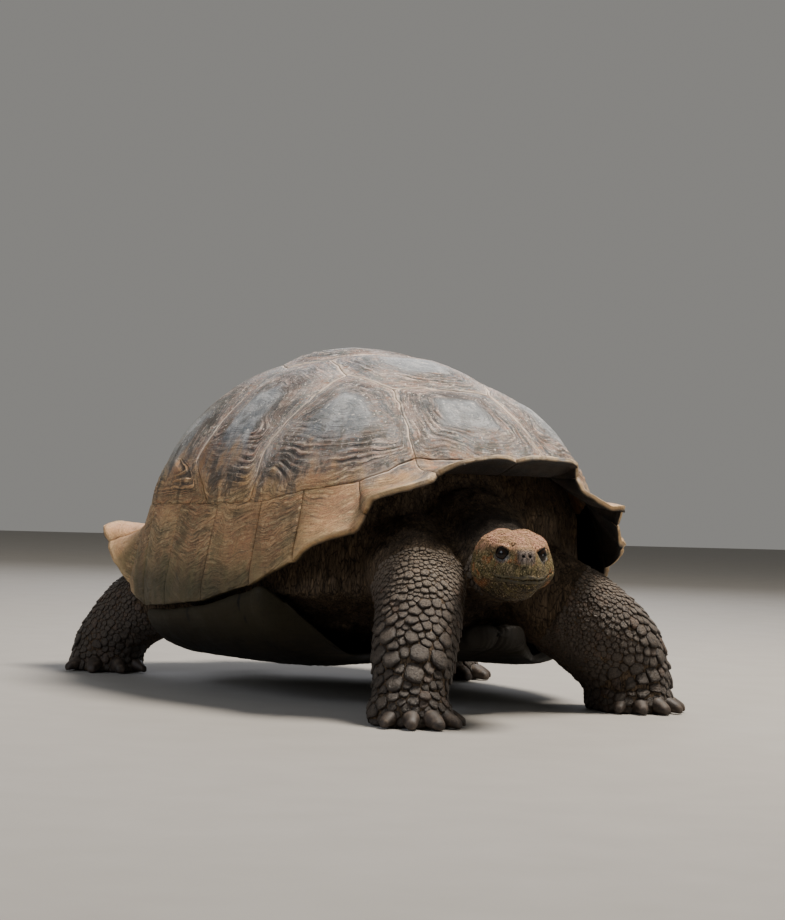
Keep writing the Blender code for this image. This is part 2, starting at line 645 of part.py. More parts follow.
def jaw_block(gap):
    """The wedge that parts the lower jaw from the head, its top rising towards the corner of the mouth."""
    ahead, across = head_frame()
    corner = HEAD_TIP - ahead * (MOUTH_LENGTH + gap)
    rise = math.tan(MOUTH_SLOPE) * MOUTH_LENGTH
    beyond = MOUTH_LENGTH + 0.03
    profile = ((0.0, MOUTH_HEIGHT + rise + gap), (MOUTH_LENGTH * 0.55, MOUTH_HEIGHT + rise * 0.15 + gap),
               (beyond, MOUTH_HEIGHT + gap), (beyond, -0.1), (0.0, -0.1))
    points = []
    for side in (-0.1, 0.1):
        for along, height in profile:
            points.append(corner + ahead * along + across * side + np.array((0.0, 0.0, height)))
    faces = [(0, 1, 2, 3, 4), (5, 6, 7, 8, 9)] + [(i, (i + 1) % 5, 5 + (i + 1) % 5, 5 + i) for i in range(5)]
    return points, faces


def ball_shape(centre, radius, around=12, up=6):
    points = [centre + np.array((0.0, 0.0, radius)), centre - np.array((0.0, 0.0, radius))]
    faces = []
    for i in range(1, up):
        tilt = math.pi * i / up
        for j in range(around):
            turn = 2.0 * math.pi * j / around
            points.append(centre + radius * np.array((math.sin(tilt) * math.cos(turn),
                                                      math.sin(tilt) * math.sin(turn), math.cos(tilt))))
    for i in range(up - 2):
        for j in range(around):
            k = (j + 1) % around
            first = 2 + i * around
            faces.append((first + j, first + k, first + around + k, first + around + j))
    last = 2 + (up - 2) * around
    for j in range(around):
        k = (j + 1) % around
        faces += [(0, 2 + j, 2 + k), (1, last + j, last + k)]
    return points, faces


def build_head():
    head = make_shape("head", head_shape(0.0), "head")
    jaw = make_shape("jaw", head_shape(0.0), "head")
    combine(head, make_shape("jaw_cutter", jaw_block(MOUTH_GAP)), "DIFFERENCE")
    combine(jaw, make_shape("jaw_cutter", jaw_block(0.0)), "INTERSECT")
    ahead, across = head_frame()
    for side, label in ((1.0, "left"), (-1.0, "right")):
        centre = HEAD_TIP - ahead * EYE_FROM_TIP + across * EYE_SIDE * side
        centre = centre + np.array((0.0, 0.0, EYE_HEIGHT))
        combine(head, make_shape("socket", ball_shape(centre, EYE_RADIUS + GAP), "head"), "DIFFERENCE")
        make_shape(f"eye_{label}", ball_shape(centre, EYE_RADIUS), "eye")


def build_body():
    make_shape("plastron", plastron_shape(0.0), "plastron")
    make_shape("trunk", trunk_shape(0.0))
    build_head()
    neck = make_shape("neck", tube_shape(NECK, LEG_SIDES))
    combine(neck, make_shape("trunk_cutter", trunk_shape(GAP)), "DIFFERENCE")
    combine(neck, make_shape("head_cutter", head_shape(GAP)), "DIFFERENCE")
    tail = make_shape("tail", tube_shape(TAIL, 14))
    combine(tail, make_shape("trunk_cutter", trunk_shape(GAP)), "DIFFERENCE")
    combine(tail, make_shape("plastron_cutter", plastron_shape(GAP)), "DIFFERENCE")
    build_leg("leg_front_right", FRONT_RIGHT_LEG, math.radians(0.0), FRONT_CLAWS, FRONT_SPREAD)
    build_leg("leg_front_left", FRONT_LEFT_LEG, math.radians(4.0), FRONT_CLAWS, FRONT_SPREAD * 0.85)
    build_leg("leg_rear_right", REAR_RIGHT_LEG, math.radians(-24.0), REAR_CLAWS, REAR_SPREAD)
    build_leg("leg_rear_left", REAR_LEFT_LEG, math.radians(14.0), REAR_CLAWS, REAR_SPREAD)


# ---- Start of the build ----

def set_origin():
    """Hang every solid on one root that puts the model's origin under the middle of its bounding box."""
    solids = [item for item in bpy.data.objects if item.type == "MESH"]
    corners = np.array([vertex.co for item in solids for vertex in item.data.vertices])
    low, high = corners.min(axis=0), corners.max(axis=0)
    root = bpy.data.objects.new("tortoise", None)
    bpy.context.collection.objects.link(root)
    root.location = (-(low[0] + high[0]) * 0.5, -(low[1] + high[1]) * 0.5, -low[2])
    for item in solids:
        item.parent = root
    print("origin shift", [round(value, 4) for value in root.location], "size", (high - low).round(4))


def main():
    clear_scene()
    build_vertebrals()
    build_costals()
    build_marginals()
    build_body()
    set_origin()


main()
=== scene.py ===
# A life-size giant tortoise in mid-step. It faces -Y, its left side is +X and it stands on z = 0.
import contextlib
import functools
import itertools
import math

import bmesh
import bpy
import numpy as np
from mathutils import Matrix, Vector
from mathutils.bvhtree import BVHTree


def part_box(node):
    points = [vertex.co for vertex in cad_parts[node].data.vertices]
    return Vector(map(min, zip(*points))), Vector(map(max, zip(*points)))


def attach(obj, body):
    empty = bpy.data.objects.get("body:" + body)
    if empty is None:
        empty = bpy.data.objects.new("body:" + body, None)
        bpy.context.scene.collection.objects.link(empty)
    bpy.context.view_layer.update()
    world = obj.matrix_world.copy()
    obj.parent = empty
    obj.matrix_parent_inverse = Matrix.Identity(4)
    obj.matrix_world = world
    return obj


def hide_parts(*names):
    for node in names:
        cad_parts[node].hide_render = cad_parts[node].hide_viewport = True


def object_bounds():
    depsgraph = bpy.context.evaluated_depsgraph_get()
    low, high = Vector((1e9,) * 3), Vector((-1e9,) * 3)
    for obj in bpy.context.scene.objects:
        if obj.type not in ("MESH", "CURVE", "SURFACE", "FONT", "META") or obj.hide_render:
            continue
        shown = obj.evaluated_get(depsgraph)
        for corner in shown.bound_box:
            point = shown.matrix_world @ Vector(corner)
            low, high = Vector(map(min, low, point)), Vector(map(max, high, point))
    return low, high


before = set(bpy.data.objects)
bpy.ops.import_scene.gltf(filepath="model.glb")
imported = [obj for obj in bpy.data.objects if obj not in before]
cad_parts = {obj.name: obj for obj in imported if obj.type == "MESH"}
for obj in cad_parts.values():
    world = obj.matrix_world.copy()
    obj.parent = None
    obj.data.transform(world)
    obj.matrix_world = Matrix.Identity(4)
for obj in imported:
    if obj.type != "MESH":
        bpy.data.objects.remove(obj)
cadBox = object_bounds()
bpy.ops.object.select_all(action="DESELECT")
print("frame loaded with", len(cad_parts), "nodes")


def linear(hexColour):
    # sRGB hex text to the linear colour that Blender wants
    parts = [int(hexColour[i:i + 2], 16) / 255.0 for i in (1, 3, 5)]
    return tuple(c / 12.92 if c <= 0.04045 else ((c + 0.055) / 1.055) ** 2.4 for c in parts) + (1.0,)


def addNode(tree, kind, inputs=None, output=0, **settings):
    # one node with its settings and links; an input is a number, a hex colour or another node's output
    node = tree.nodes.new("ShaderNode" + kind)
    for name, value in settings.items():
        setattr(node, name, value)
    for name, value in (inputs or {}).items():
        if isinstance(value, bpy.types.NodeSocket):
            tree.links.new(value, node.inputs[name])
        else:
            node.inputs[name].default_value = linear(value) if isinstance(value, str) else value
    return node.outputs[output]


def newMaterial(name, settings):
    material = bpy.data.materials.new(name)
    material.use_nodes = True
    shader = material.node_tree.nodes["Principled BSDF"]
    for socket, value in settings.items():
        shader.inputs[socket].default_value = value
    add = functools.partial(addNode, material.node_tree)
    return material, add, shader, add("TexCoord", output="Object")


def finish(material, shader, sources):
    # links the patterns to the sockets of the surface
    for socket, source in sources.items():
        material.node_tree.links.new(source, shader.inputs[socket])
    return material


def coat(add, colour, layers, blend="LINEAR"):
    # lays tints over a colour; each covers it from nought at start to its most at end
    for source, start, end, most, tint in layers:
        share = add("MapRange", {0: source, 1: start, 2: end, 4: most}, interpolation_type=blend)
        colour = add("Mix", {0: share, 6: colour, 7: tint}, 2, data_type="RGBA")
    return colour


def latticeNoise(points, size, seed):
    # smooth random values from -1 to 1 with one lattice cell per size in metres
    grid = np.asarray(points) / size
    cell = np.floor(grid).astype(np.int64)
    share = grid - cell
    share = share * share * (3.0 - 2.0 * share)
    total = np.zeros(len(grid))
    for corner in itertools.product((0, 1), repeat=3):
        spot = cell + np.array(corner)
        key = spot[:, 0] * 73856093 ^ spot[:, 1] * 19349663 ^ spot[:, 2] * 83492791 ^ (seed * 26544357)
        key = (key ^ (key >> 13)) * 1274126177 & 0x7FFFFFFF
        value = ((key ^ (key >> 15)) & 0xFFFF) / 32767.5 - 1.0
        weight = np.prod(np.where(corner, share, 1.0 - share), axis=1)
        total += value * weight
    return total


def smoothStep(value, low, high):
    share = np.clip((value - low) / (high - low), 0.0, 1.0)
    return share * share * (3.0 - 2.0 * share)


def unit(vectors):
    return vectors / np.maximum(np.linalg.norm(vectors, axis=-1, keepdims=True), 1e-12)


def hill(value, width):
    # one at nought, falling away to both sides
    return np.exp(-(value / width) ** 2)


def lump(spots, middle, reach):
    # one at the middle of a rounded form, nought well outside its reach
    return np.exp(-np.sum(((spots - np.array(middle)) / np.array(reach)) ** 2, axis=1))


def setAttribute(mesh, name, values):
    layer = mesh.attributes.new(name, "FLOAT", "POINT")
    layer.data.foreach_set("value", np.asarray(values, dtype=np.float32).ravel())


@contextlib.contextmanager
def openShape(mesh):
    # the mesh as a shape to edit, written back at the end
    shape = bmesh.new()
    shape.from_mesh(mesh)
    yield shape
    shape.to_mesh(mesh)
    shape.free()


def makePiece(name, points, faces, material, replaced, attributes=None):
    # a finished piece: closed, smooth, riding on the one body and standing for its CAD nodes
    mesh = bpy.data.meshes.new(name)
    mesh.from_pydata(np.asarray(points).tolist(), [], faces)
    for label, values in (attributes or {}).items():
        setAttribute(mesh, label, values)
    piece = bpy.data.objects.new(name, mesh)
    bpy.context.collection.objects.link(piece)
    return dressPiece(piece, material, replaced)


def dressPiece(piece, material, replaced):
    piece.data.materials.clear()
    piece.data.materials.append(material)
    piece.data.polygons.foreach_set("use_smooth", [True] * len(piece.data.polygons))
    with openShape(piece.data) as shape:
        bmesh.ops.recalc_face_normals(shape, faces=shape.faces)
    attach(piece, "root")
    if replaced:
        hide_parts(*replaced)
    return piece


def applyModifier(piece, kind, **settings):
    modifier = piece.modifiers.new(kind.lower(), kind)
    for name, value in settings.items():
        setattr(modifier, name, value)
    bpy.context.view_layer.objects.active = piece
    bpy.ops.object.modifier_apply(modifier=modifier.name)


def ringFaces(count, rings, start=0):
    # quads between rings of count points, one ring after another
    faces = []
    for ring in range(rings - 1):
        first = start + ring * count
        faces += [(first + i, first + (i + 1) % count, first + count + (i + 1) % count, first + count + i)
                  for i in range(count)]
    return faces


head = {
    "tip": (-0.107, -0.745, 0.266), "yaw": 22.0, "length": 0.190,
    "eyeFromTip": 0.051, "eyeSide": 0.0275, "eyeHeight": 0.0245, "eyeRadius": 0.0165,
    "mouthHeight": -0.017, "mouthSlope": 9.0, "mouthLength": 0.092,
}
headAhead = np.array((-math.sin(math.radians(head["yaw"])), -math.cos(math.radians(head["yaw"])), 0.0))
headAcross = np.array((math.cos(math.radians(head["yaw"])), -math.sin(math.radians(head["yaw"])), 0.0))
headUp = np.array((0.0, 0.0, 1.0))


def eyePlace(side):
    return (np.array(head["tip"]) - headAhead * head["eyeFromTip"] + headAcross * head["eyeSide"] * side
            + headUp * head["eyeHeight"])


# everything below is worked out about the shell's own middle, then moved by this to the CAD frame
shift = np.mean(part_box("eye_left"), axis=0) - eyePlace(1.0)
shift[2] = 0.0
print("shift to the frame", shift.round(4))

dome = {
    "centre": (0.0, 0.03, 0.20), "halfWidth": 0.405, "height": 0.460, "front": 0.570, "rear": 0.475,
    "frontSquareness": 2.8, "rearSquareness": 2.0, "thickness": 0.012, "seamDepth": 0.004, "bulge": 0.0072,
    "seamY": (-0.285, -0.075, 0.125, 0.300), "seamHalf": (0.105, 0.120, 0.120, 0.085),
    "lateralY": (-0.190, 0.015, 0.215), "lateralHalf": (0.150, 0.165, 0.150),
    "foot": (1.0, 4.25, 5.25, 7.5, 10.5),
    "knees": ((0.300, -0.186, 0.440), (0.345, 0.022, 0.430), (0.320, 0.215, 0.430)),
    "areolas": ((0.212, -0.292, 0.530), (0.300, -0.085, 0.510), (0.338, 0.130, 0.430), (0.205, 0.335, 0.465)),
    "gap": 0.00016, "spokes": 176, "rings": 88, "wobble": 0.0024,
}
rim = {
    "width": (0.152, 0.105, 0.107, 0.092, 0.126, 0.135, 0.130, 0.120, 0.118, 0.112, 0.105, 0.055),
    "top": (0.449, 0.449, 0.405, 0.385, 0.362, 0.356, 0.352, 0.348, 0.345, 0.342, 0.340, 0.338, 0.338),
    "reach": (0.092, 0.083, 0.070, 0.043, 0.032, 0.037, 0.034, 0.020, 0.040, 0.112, 0.112, 0.084, 0.082),
    "height": (0.458, 0.428, 0.350, 0.262, 0.214, 0.178, 0.162, 0.152, 0.186, 0.268, 0.300, 0.270, 0.245),
    "scallopReach": (0.010, 0.034, 0.024, 0.006, 0.0, 0.0, 0.0, 0.004, 0.010, 0.036, 0.030, 0.012),
    "scallopLift": (0.016, 0.012, 0.004, 0.0, 0.0, 0.0, 0.0, 0.0, 0.010, 0.022, 0.010, -0.012),
    # steps of the rim at two seams, and how the left side differs from the right
    "stepSeams": (1.0, 2.0), "stepRight": (0.0, 0.020), "stepLeft": (0.017, 0.026), "stepWidth": 0.07,
    "leftStations": (0.5, 1.0, 1.5, 2.0, 2.25, 2.5, 3.0),
    "leftReach": (0.0, 0.010, 0.004, 0.008, -0.004, -0.010, 0.0),
    "leftLift": (0.0, 0.0, -0.022, -0.006, 0.0, 0.0, 0.0),
    "thickness": 0.012, "rolled": 0.42, "inside": 0.0026, "stations": 34, "outer": 30, "trim": 0.003,
}
domeCentre = np.array(dome["centre"])


def domeSize(offset):
    ahead = offset[..., 1] < 0.0
    reach = np.where(ahead, dome["front"], dome["rear"])
    power = np.where(ahead, dome["frontSquareness"], dome["rearSquareness"])
    plan = (np.abs(offset[..., 0]) / dome["halfWidth"]) ** power + (np.abs(offset[..., 1]) / reach) ** power
    return np.sqrt(plan ** (2.0 / power) + (offset[..., 2] / dome["height"]) ** 2)


def onDome(points, lift=0.0):
    offset = np.asarray(points, dtype=float) - domeCentre
    lift = np.asarray(lift)[..., None]
    return domeCentre + offset / domeSize(offset)[..., None] + unit(offset) * lift


def domeAbove(x, y):
    flat = float(domeSize(np.array((x, y - domeCentre[1], 0.0))))
    return np.array((x, y, domeCentre[2] + dome["height"] * math.sqrt(max(0.0, 1.0 - flat * flat))))


def planPoint(angle, scale):
    ahead = math.cos(angle) > 0
    reach = dome["front"] if ahead else dome["rear"]
    power = 2.0 / (dome["frontSquareness"] if ahead else dome["rearSquareness"])
    x = dome["halfWidth"] * scale * abs(math.sin(angle)) ** power
    y = reach * scale * abs(math.cos(angle)) ** power
    return x, domeCentre[1] + (-y if ahead else y)


outlineAngles = np.linspace(0.0, math.pi, 721)
outlinePoints = np.array([planPoint(angle, 1.0) for angle in outlineAngles])
outlineShares = np.concatenate(([0.0], np.cumsum(np.linalg.norm(np.diff(outlinePoints, axis=0), axis=1))))
outlineShares /= outlineShares[-1]
# stations count the seams of the rim from the front; the right side has negative ones
rearStation = 11.5
seamStations = tuple(range(12)) + (rearStation,)
seamShares = np.concatenate(([0.0], np.cumsum(rim["width"]))) / sum(rim["width"])


def foldStation(station):
    # the station on the left side that mirrors this one, and the side it is on
    side = 1.0
    if station < 0.0:
        station, side = -station, -1.0
    if station > rearStation:
        station, side = 2.0 * rearStation - station, -side
    return station, side


def rimTop(station):
    # where the rim plates meet the dome
    station, side = foldStation(station)
    share = np.interp(station, seamStations, seamShares)
    angle = np.interp(share, outlineShares, outlineAngles)
    height = np.interp(station, seamStations, rim["top"])
    x, y = planPoint(angle, math.sqrt(1.0 - ((height - domeCentre[2]) / dome["height"]) ** 2))
    return np.array((side * x, y, height))


def rimPoint(station):
    # the free edge of the rim, with its scallops and steps
    folded, side = foldStation(station)
    top = rimTop(folded)
    ahead = rimTop(min(folded + 0.3, rearStation)) - rimTop(max(folded - 0.3, 0.0))
    outward = np.array((ahead[1], -ahead[0]))
    if outward @ (top[:2] - domeCentre[:2]) < 0.0:
        outward = -outward
    outward /= np.linalg.norm(outward)
    if folded < 0.02 or folded > rearStation - 0.02:
        outward = np.array((0.0, -1.0 if folded < 1.0 else 1.0))
    plate = min(int(folded), 11)
    share = folded - plate
    wave = 1.0 - abs(2.0 * share - 1.0) ** 2.5
    reach = np.interp(folded, seamStations, rim["reach"]) + rim["scallopReach"][plate] * wave - rim["inside"]
    height = np.interp(folded, seamStations, rim["height"]) + rim["scallopLift"][plate] * wave
    for seam, step in zip(rim["stepSeams"], rim["stepLeft" if side > 0.0 else "stepRight"]):
        beyond = np.clip((seam - folded) / rim["stepWidth"], -1.0, 1.0)
        height += step * beyond * math.exp(-((folded - seam) / 0.45) ** 2)
    if side > 0.0 and folded < 3.0:
        reach += np.interp(folded, rim["leftStations"], rim["leftReach"])
        height += np.interp(folded, rim["leftStations"], rim["leftLift"])
    return np.array((side * (top[0] + outward[0] * reach), top[1] + outward[1] * reach, height))


def seamPath(corners, steps=26):
    # a seam over the dome from corner to corner
    points = []
    for start, end in zip(corners, corners[1:]):
        points += [onDome(start + (end - start) * i / steps) for i in range(steps)]
    return points


def rimPath(start, end):
    # the seam between the dome and the rim
    count = max(2, round(abs(end - start) * 16))
    return [rimTop(start + (end - start) * i / count) for i in range(count)]


def sideSeams():
    ends = [domeAbove(x, y) for x, y in zip(dome["seamHalf"], dome["seamY"])]
    laterals = [domeAbove(x, y) for x, y in zip(dome["lateralHalf"], dome["lateralY"])]
    foot = [rimTop(station) for station in dome["foot"]]
    seams = {"v1c1": seamPath([foot[0], ends[0]], 40), "v5c4": seamPath([ends[3], foot[4]], 40)}
    for i in range(3):
        seams[f"v{i + 2}c{i + 1}"] = seamPath([ends[i], laterals[i]])
        seams[f"v{i + 2}c{i + 2}"] = seamPath([laterals[i], ends[i + 1]])
        seams[f"c{i + 1}c{i + 2}"] = seamPath([laterals[i], onDome(dome["knees"][i]), foot[i + 1]], 30)
    for i in range(4):
        seams[f"c{i + 1}m"] = rimPath(dome["foot"][i + 1], dome["foot"][i])
    return seams, ends, foot


def backwards(points, last):
    return [last] + points[:0:-1]


def plateOutlines():
    # every plate of the dome as its name, its outline and the middle of its growth rings
    seams, ends, foot = sideSeams()
    mirror = np.array((-1.0, 1.0, 1.0))
    plates = []
    for side, label in ((1.0, "left"), (-1.0, "right")):
        flip = np.array((side, 1.0, 1.0))
        for i in range(4):
            if i == 0:
                outline = list(seams["v1c1"])
            else:
                outline = backwards(seams[f"c{i}c{i + 1}"], foot[i]) + seams[f"v{i + 1}c{i + 1}"]
            outline += seams[f"v{i + 2}c{i + 1}"] + seams[f"c{i + 1}c{i + 2}"] if i < 3 else seams["v5c4"]
            outline = np.array(outline + seams[f"c{i + 1}m"]) * flip
            plates.append((f"costal_{label}_{i + 1}", outline, np.array(dome["areolas"][i]) * flip))
    for i in range(5):
        if i == 0:
            left = seams["v1c1"] + [ends[0]]
        elif i == 4:
            left = seams["v5c4"] + [foot[4]]
        else:
            left = seams[f"v{i + 1}c{i}"] + seams[f"v{i + 1}c{i + 1}"] + [ends[i]]
        right = [point * mirror for point in left[::-1]]
        rear = seamPath([left[-1], left[-1] * mirror])[1:]
        front = seamPath([left[0] * mirror, left[0]])[1:]
        if i == 0:
            front = rimPath(-dome["foot"][0], dome["foot"][0])[1:]
        if i == 4:
            rear = rimPath(dome["foot"][4], 23.0 - dome["foot"][4])[1:]
        middle = (left[0] + left[-1]) * 0.5
        plates.append((f"vertebral_{i + 1}", np.array(left + rear + right + front),
                       np.array((0.0, middle[1] + (0.035, 0.0, 0.0, 0.0, -0.02)[i], middle[2]))))
    return plates


def wobbled(points):
    # seams wander a little, by place alone, so that two neighbours still share one seam
    move = np.stack([latticeNoise(points, 0.022, seed) for seed in (3, 4, 5)], axis=1)
    move += 0.5 * np.stack([latticeNoise(points, 0.009, seed) for seed in (6, 7, 8)], axis=1)
    return points + move * dome["wobble"]


def resampled(points, count):
    # a closed line with evenly spaced points
    closed = np.vstack((points, points[:1]))
    lengths = np.concatenate(([0.0], np.cumsum(np.linalg.norm(np.diff(closed, axis=0), axis=1))))
    wanted = np.linspace(0.0, lengths[-1], count, endpoint=False)
    return np.stack([np.interp(wanted, lengths, closed[:, i]) for i in range(3)], axis=1)


growth = {
    # growth ridges of the horn, in metres: one every few millimetres, worn away in places
    "spacing": 0.0070, "height": 0.0007, "coarse": 0.0006, "areola": 0.38, "boss": 0.0036, "level": 0.86,
    "warp": 0.0130, "ripple": 0.0036, "fold": 0.0020, "foldEvery": 1.9,
}


def growthRelief(distance, share, points, under, seed):
    # how far the surface rises for ridges that lie at a given distance from the middle of a plate
    warp = latticeNoise(points, 0.060, seed) * growth["warp"]
    warp += latticeNoise(points, 0.019, seed + 1) * growth["ripple"]
    phase = (distance + warp * smoothStep(share, 0.1, 0.4)) / growth["spacing"]
    along = np.stack((points[:, 0] + points[:, 2], points[:, 1]), axis=1)
    wave = 0.5 + 0.5 * np.cos(2.0 * math.pi * phase)
    depth = 0.5 + 0.5 * latticeNoise(np.column_stack((phase * 0.9, along / 0.035)), 1.0, seed + 2)
    worn = smoothStep(latticeNoise(points, 0.055, seed + 3), -0.5, 0.35)
    fade = smoothStep(share, growth["areola"] * 0.75, growth["areola"] * 1.25) * (0.25 + 0.75 * worn)
    coarse = latticeNoise(np.column_stack((phase * 0.26, along / 0.09)), 1.0, seed + 5)
    beat = phase / growth["foldEvery"] + 0.35 * latticeNoise(points, 0.050, seed + 8)
    fold = (0.5 + 0.5 * np.cos(2.0 * math.pi * beat)) ** 1.6 * under * fade
    relief = fade * (wave ** 1.3 * depth * growth["height"] + coarse * growth["coarse"])
    relief += fold * growth["fold"]
    relief += latticeNoise(points, 0.110, seed + 6) * 0.0012 + latticeNoise(points, 0.030, seed + 7) * 0.00045
    return relief, phase, fade, fold


def buildDomePlates(material):
    for number, (name, outline, areola) in enumerate(plateOutlines()):
        edge = resampled(wobbled(outline), dome["spokes"])
        areola = onDome(areola)
        edge = edge + unit(areola - edge) * dome["gap"]
        spokes, rings = dome["spokes"], dome["rings"]
        shares = np.linspace(0.0, 1.0, rings + 1)[1:]
        spread = areola + (edge[None] - areola) * shares[:, None, None]
        flat = spread.reshape(-1, 3)
        share = np.repeat(shares, spokes)
        radius = np.tile(np.linalg.norm(edge - areola, axis=1), rings)
        inset = radius * (1.0 - share)
        distance = share * radius.mean() * (0.55 + 0.45 * radius / radius.mean())
        under = smoothStep(areola[2] - flat[:, 2], -0.015, 0.030) * smoothStep(share, 0.98, 0.70)
        costal = 1.0 if name.startswith("costal") else 0.0
        level = growth["level"] * costal * under * smoothStep(share, 0.96, 0.86)
        distance = distance * (1.0 - level) + np.maximum(areola[2] - flat[:, 2], 0.0) * 1.3 * level
        boss = growth["boss"] * costal * smoothStep(share, 0.46, 0.16)
        relief, phase, fade, fold = growthRelief(distance, share, flat, under, 20 + number * 9)
        edgeDrop = np.exp(-(inset / 0.0020) ** 1.5)
        base = dome["bulge"] - (dome["bulge"] + 0.0018) * share ** 2.2
        lift = base + relief * (1.0 - edgeDrop) - 0.0014 * edgeDrop
        lift = np.minimum(lift, dome["bulge"] + 0.0006) + boss
        outer = onDome(flat, lift)
        top = onDome(areola[None], np.array((dome["bulge"] + growth["boss"] * costal,)))
        wall = onDome(edge, np.full(spokes, -dome["thickness"]))
        inner = onDome(areola + (edge - areola) * 0.5, np.full(spokes, -dome["thickness"]))
        middle = onDome(areola[None], np.array((-dome["thickness"],)))
        points = np.vstack((top, outer, wall, inner, middle)) + shift
        faces = [(0, 1 + (i + 1) % spokes, 1 + i) for i in range(spokes)]
        faces += ringFaces(spokes, rings + 2, 1)
        last = 1 + (rings + 1) * spokes
        faces += [(last + i, last + (i + 1) % spokes, len(points) - 1) for i in range(spokes)]
        spare = np.zeros(spokes * 2 + 1)
        attributes = {
            "growth": np.concatenate(([0.0], phase, spare)),
            "share": np.concatenate(([0.0], share, spare + 1.0)),
            "groove": np.concatenate(([0.0], edgeDrop, spare + 1.0)),
            "ridged": np.concatenate(([0.0], fade, spare)), "fold": np.concatenate(([0.0], fold, spare)),
        }
        makePiece("plate_" + name, points, faces, material, [name], attributes)
    print("dome plates made")


def rimFrame(station):
    start = wobbled(rimTop(station)[None])[0]
    top = onDome(start, -dome["seamDepth"] * 0.4)
    innerTop = onDome(start, -dome["thickness"])
    edge = rimPoint(station)
    below = onDome(start - np.array((0.0, 0.0, 0.03)), -dome["seamDepth"] * 0.4)
    slope = unit(below - top)
    control = top + slope * np.linalg.norm(edge - top) * 0.42
    along = rimPoint(station + 0.05) - rimPoint(station - 0.05)
    inward = unit(np.cross(slope, along))
    if inward @ (domeCentre - top) < 0.0:
        inward = -inward
    rimInward = unit(np.cross(unit(edge - control), along))
    if rimInward[2] > 0.0 and abs(rimInward[2]) > 0.3:
        rimInward = -rimInward
    elif abs(rimInward[2]) <= 0.3 and rimInward @ (domeCentre - edge) < 0.0:
        rimInward = -rimInward
    return top + slope * 0.0008, control, edge, inward, rimInward, innerTop


def buildRimPlates(material):
    plates = [(f"marginal_left_{i + 1}", i, i + 1) for i in range(11)]
    plates += [(f"marginal_right_{i + 1}", -i, -i - 1) for i in range(11)]
    plates.append(("marginal_tail", 11, 12))
    for number, (name, start, end) in enumerate(plates):
        direction = 1.0 if end > start else -1.0
        trim = rim["trim"] * direction
        stations = np.linspace(start + trim, end - trim, rim["stations"])
        shares = np.linspace(0.0, 1.0, rim["outer"])
        grid, side, up = [], [], []
        for station in stations:
            top, control, edge, inward, rimInward, innerTop = rimFrame(station)
            share = shares[:, None]
            outer = top * (1 - share) ** 2 + control * 2 * share * (1 - share) + edge * share ** 2
            roll = rimInward * rim["thickness"] * rim["rolled"]
            outer = outer + roll * np.clip((share - 0.82) / 0.18, 0.0, 1.0) ** 2
            blend = unit(inward * (1 - share) + rimInward * share)
            depth = (dome["thickness"] * (1 - share) + rim["thickness"] * 0.8 * share) * 1.05
            inner = outer + blend * depth
            lip = [edge + roll + rimInward * rim["thickness"] * t + unit(edge - control) * bow
                   for t, bow in ((0.10, 0.0), (0.22, -0.0002), (0.34, -0.0010))]
            inside = inner[::-3].copy()
            inside[-1] = innerTop
            grid.append(np.vstack((outer, lip, inside)))
            across = abs(2.0 * (station - start) / (end - start) - 1.0)
            side.append(np.full(len(grid[-1]), across))
            up.append(np.concatenate((1.0 - shares, [0.0, 0.0, 0.0], 1.0 - shares[::-3])))
        grid, side, up = np.array(grid), np.array(side), np.array(up)
        rows, size = grid.shape[:2]
        normal = np.cross(np.gradient(grid, axis=0), np.gradient(grid, axis=1))
        normal = unit(normal)
        if (normal[rows // 2, 4] @ (grid[rows // 2, 4] - domeCentre)) < 0.0:
            normal = -normal
        flat = grid.reshape(-1, 3)
        width = np.linalg.norm(grid[-1, 0] - grid[0, 0]) * 0.5
        tall = np.linalg.norm(grid[rows // 2, rim["outer"] - 1] - grid[rows // 2, 0])
        share = (((side * 0.62) ** 3 + up ** 3) ** (1.0 / 3.0)).ravel()
        distance = (side * 0.30 * width + (1.0 - up) * tall * 1.05).ravel()
        relief, phase, fade, fold = growthRelief(distance, share + 0.30, flat, share * 0.25, 300 + number * 9)
        beside = np.exp(-((1.0 - side.ravel()) * width / 0.0018) ** 1.5)
        groove = np.maximum(beside * 0.8, 0.4 * np.exp(-((1.0 - up.ravel()) * tall / 0.0018) ** 1.5))
        outside = np.tile(np.arange(size) < rim["outer"], rows)
        amount = np.where(outside, relief * (1.0 - groove) - 0.0014 * groove, relief * 0.25)
        atEdge = np.tile(np.abs(np.arange(size) - rim["outer"]) < 4, rows)
        nick = latticeNoise(flat, 0.012, 91) * 0.0012 * atEdge
        flat = flat + normal.reshape(-1, 3) * (amount + nick)[:, None] + shift
        faces = ringFaces(size, rows)
        faces += [tuple(range(size)), tuple(range((rows - 1) * size, rows * size))]
        below = np.tile(np.arange(size) >= rim["outer"] + 3, rows).astype(float)
        attributes = {"growth": phase, "share": share, "groove": groove, "ridged": fade, "fold": fold,
                      "underside": below, "rimEdge": hill(up.ravel() * tall, 0.008)}
        makePiece("rim_" + name, flat, faces, material, [name], attributes)
    print("rim plates made")


view = {
    # a long lens at a kneeling person's eye height, four and a half metres off the right shoulder
    "place": (-2.2588, -3.8128, 0.388), "turn": (90.789, -2.137, -30.802), "lens": 89.8, "sensor": 36.0,
    "floorSize": 24.0, "floor": "#85827D", "floorPale": "#908D88", "backdrop": "#D6D4CF", "skyStrength": 0.36,
    "key": {"place": (1.7, -0.75, 4.7), "size": 1.7, "power": 640.0, "colour": "#FFF5E8"},
    "side": {"place": (-4.2, -1.2, 2.2), "size": 2.4, "power": 74.0, "colour": "#EAF1FF"},
    "rear": {"place": (2.4, 4.0, 3.0), "size": 3.0, "power": 130.0, "colour": "#F4F6FF"},
    "glint": {"place": (2.0, -3.9, 0.5), "size": 0.8, "power": 22.0, "colour": "#FFFFFF"},
    "aim": (0.0, 0.0, 0.30),
}


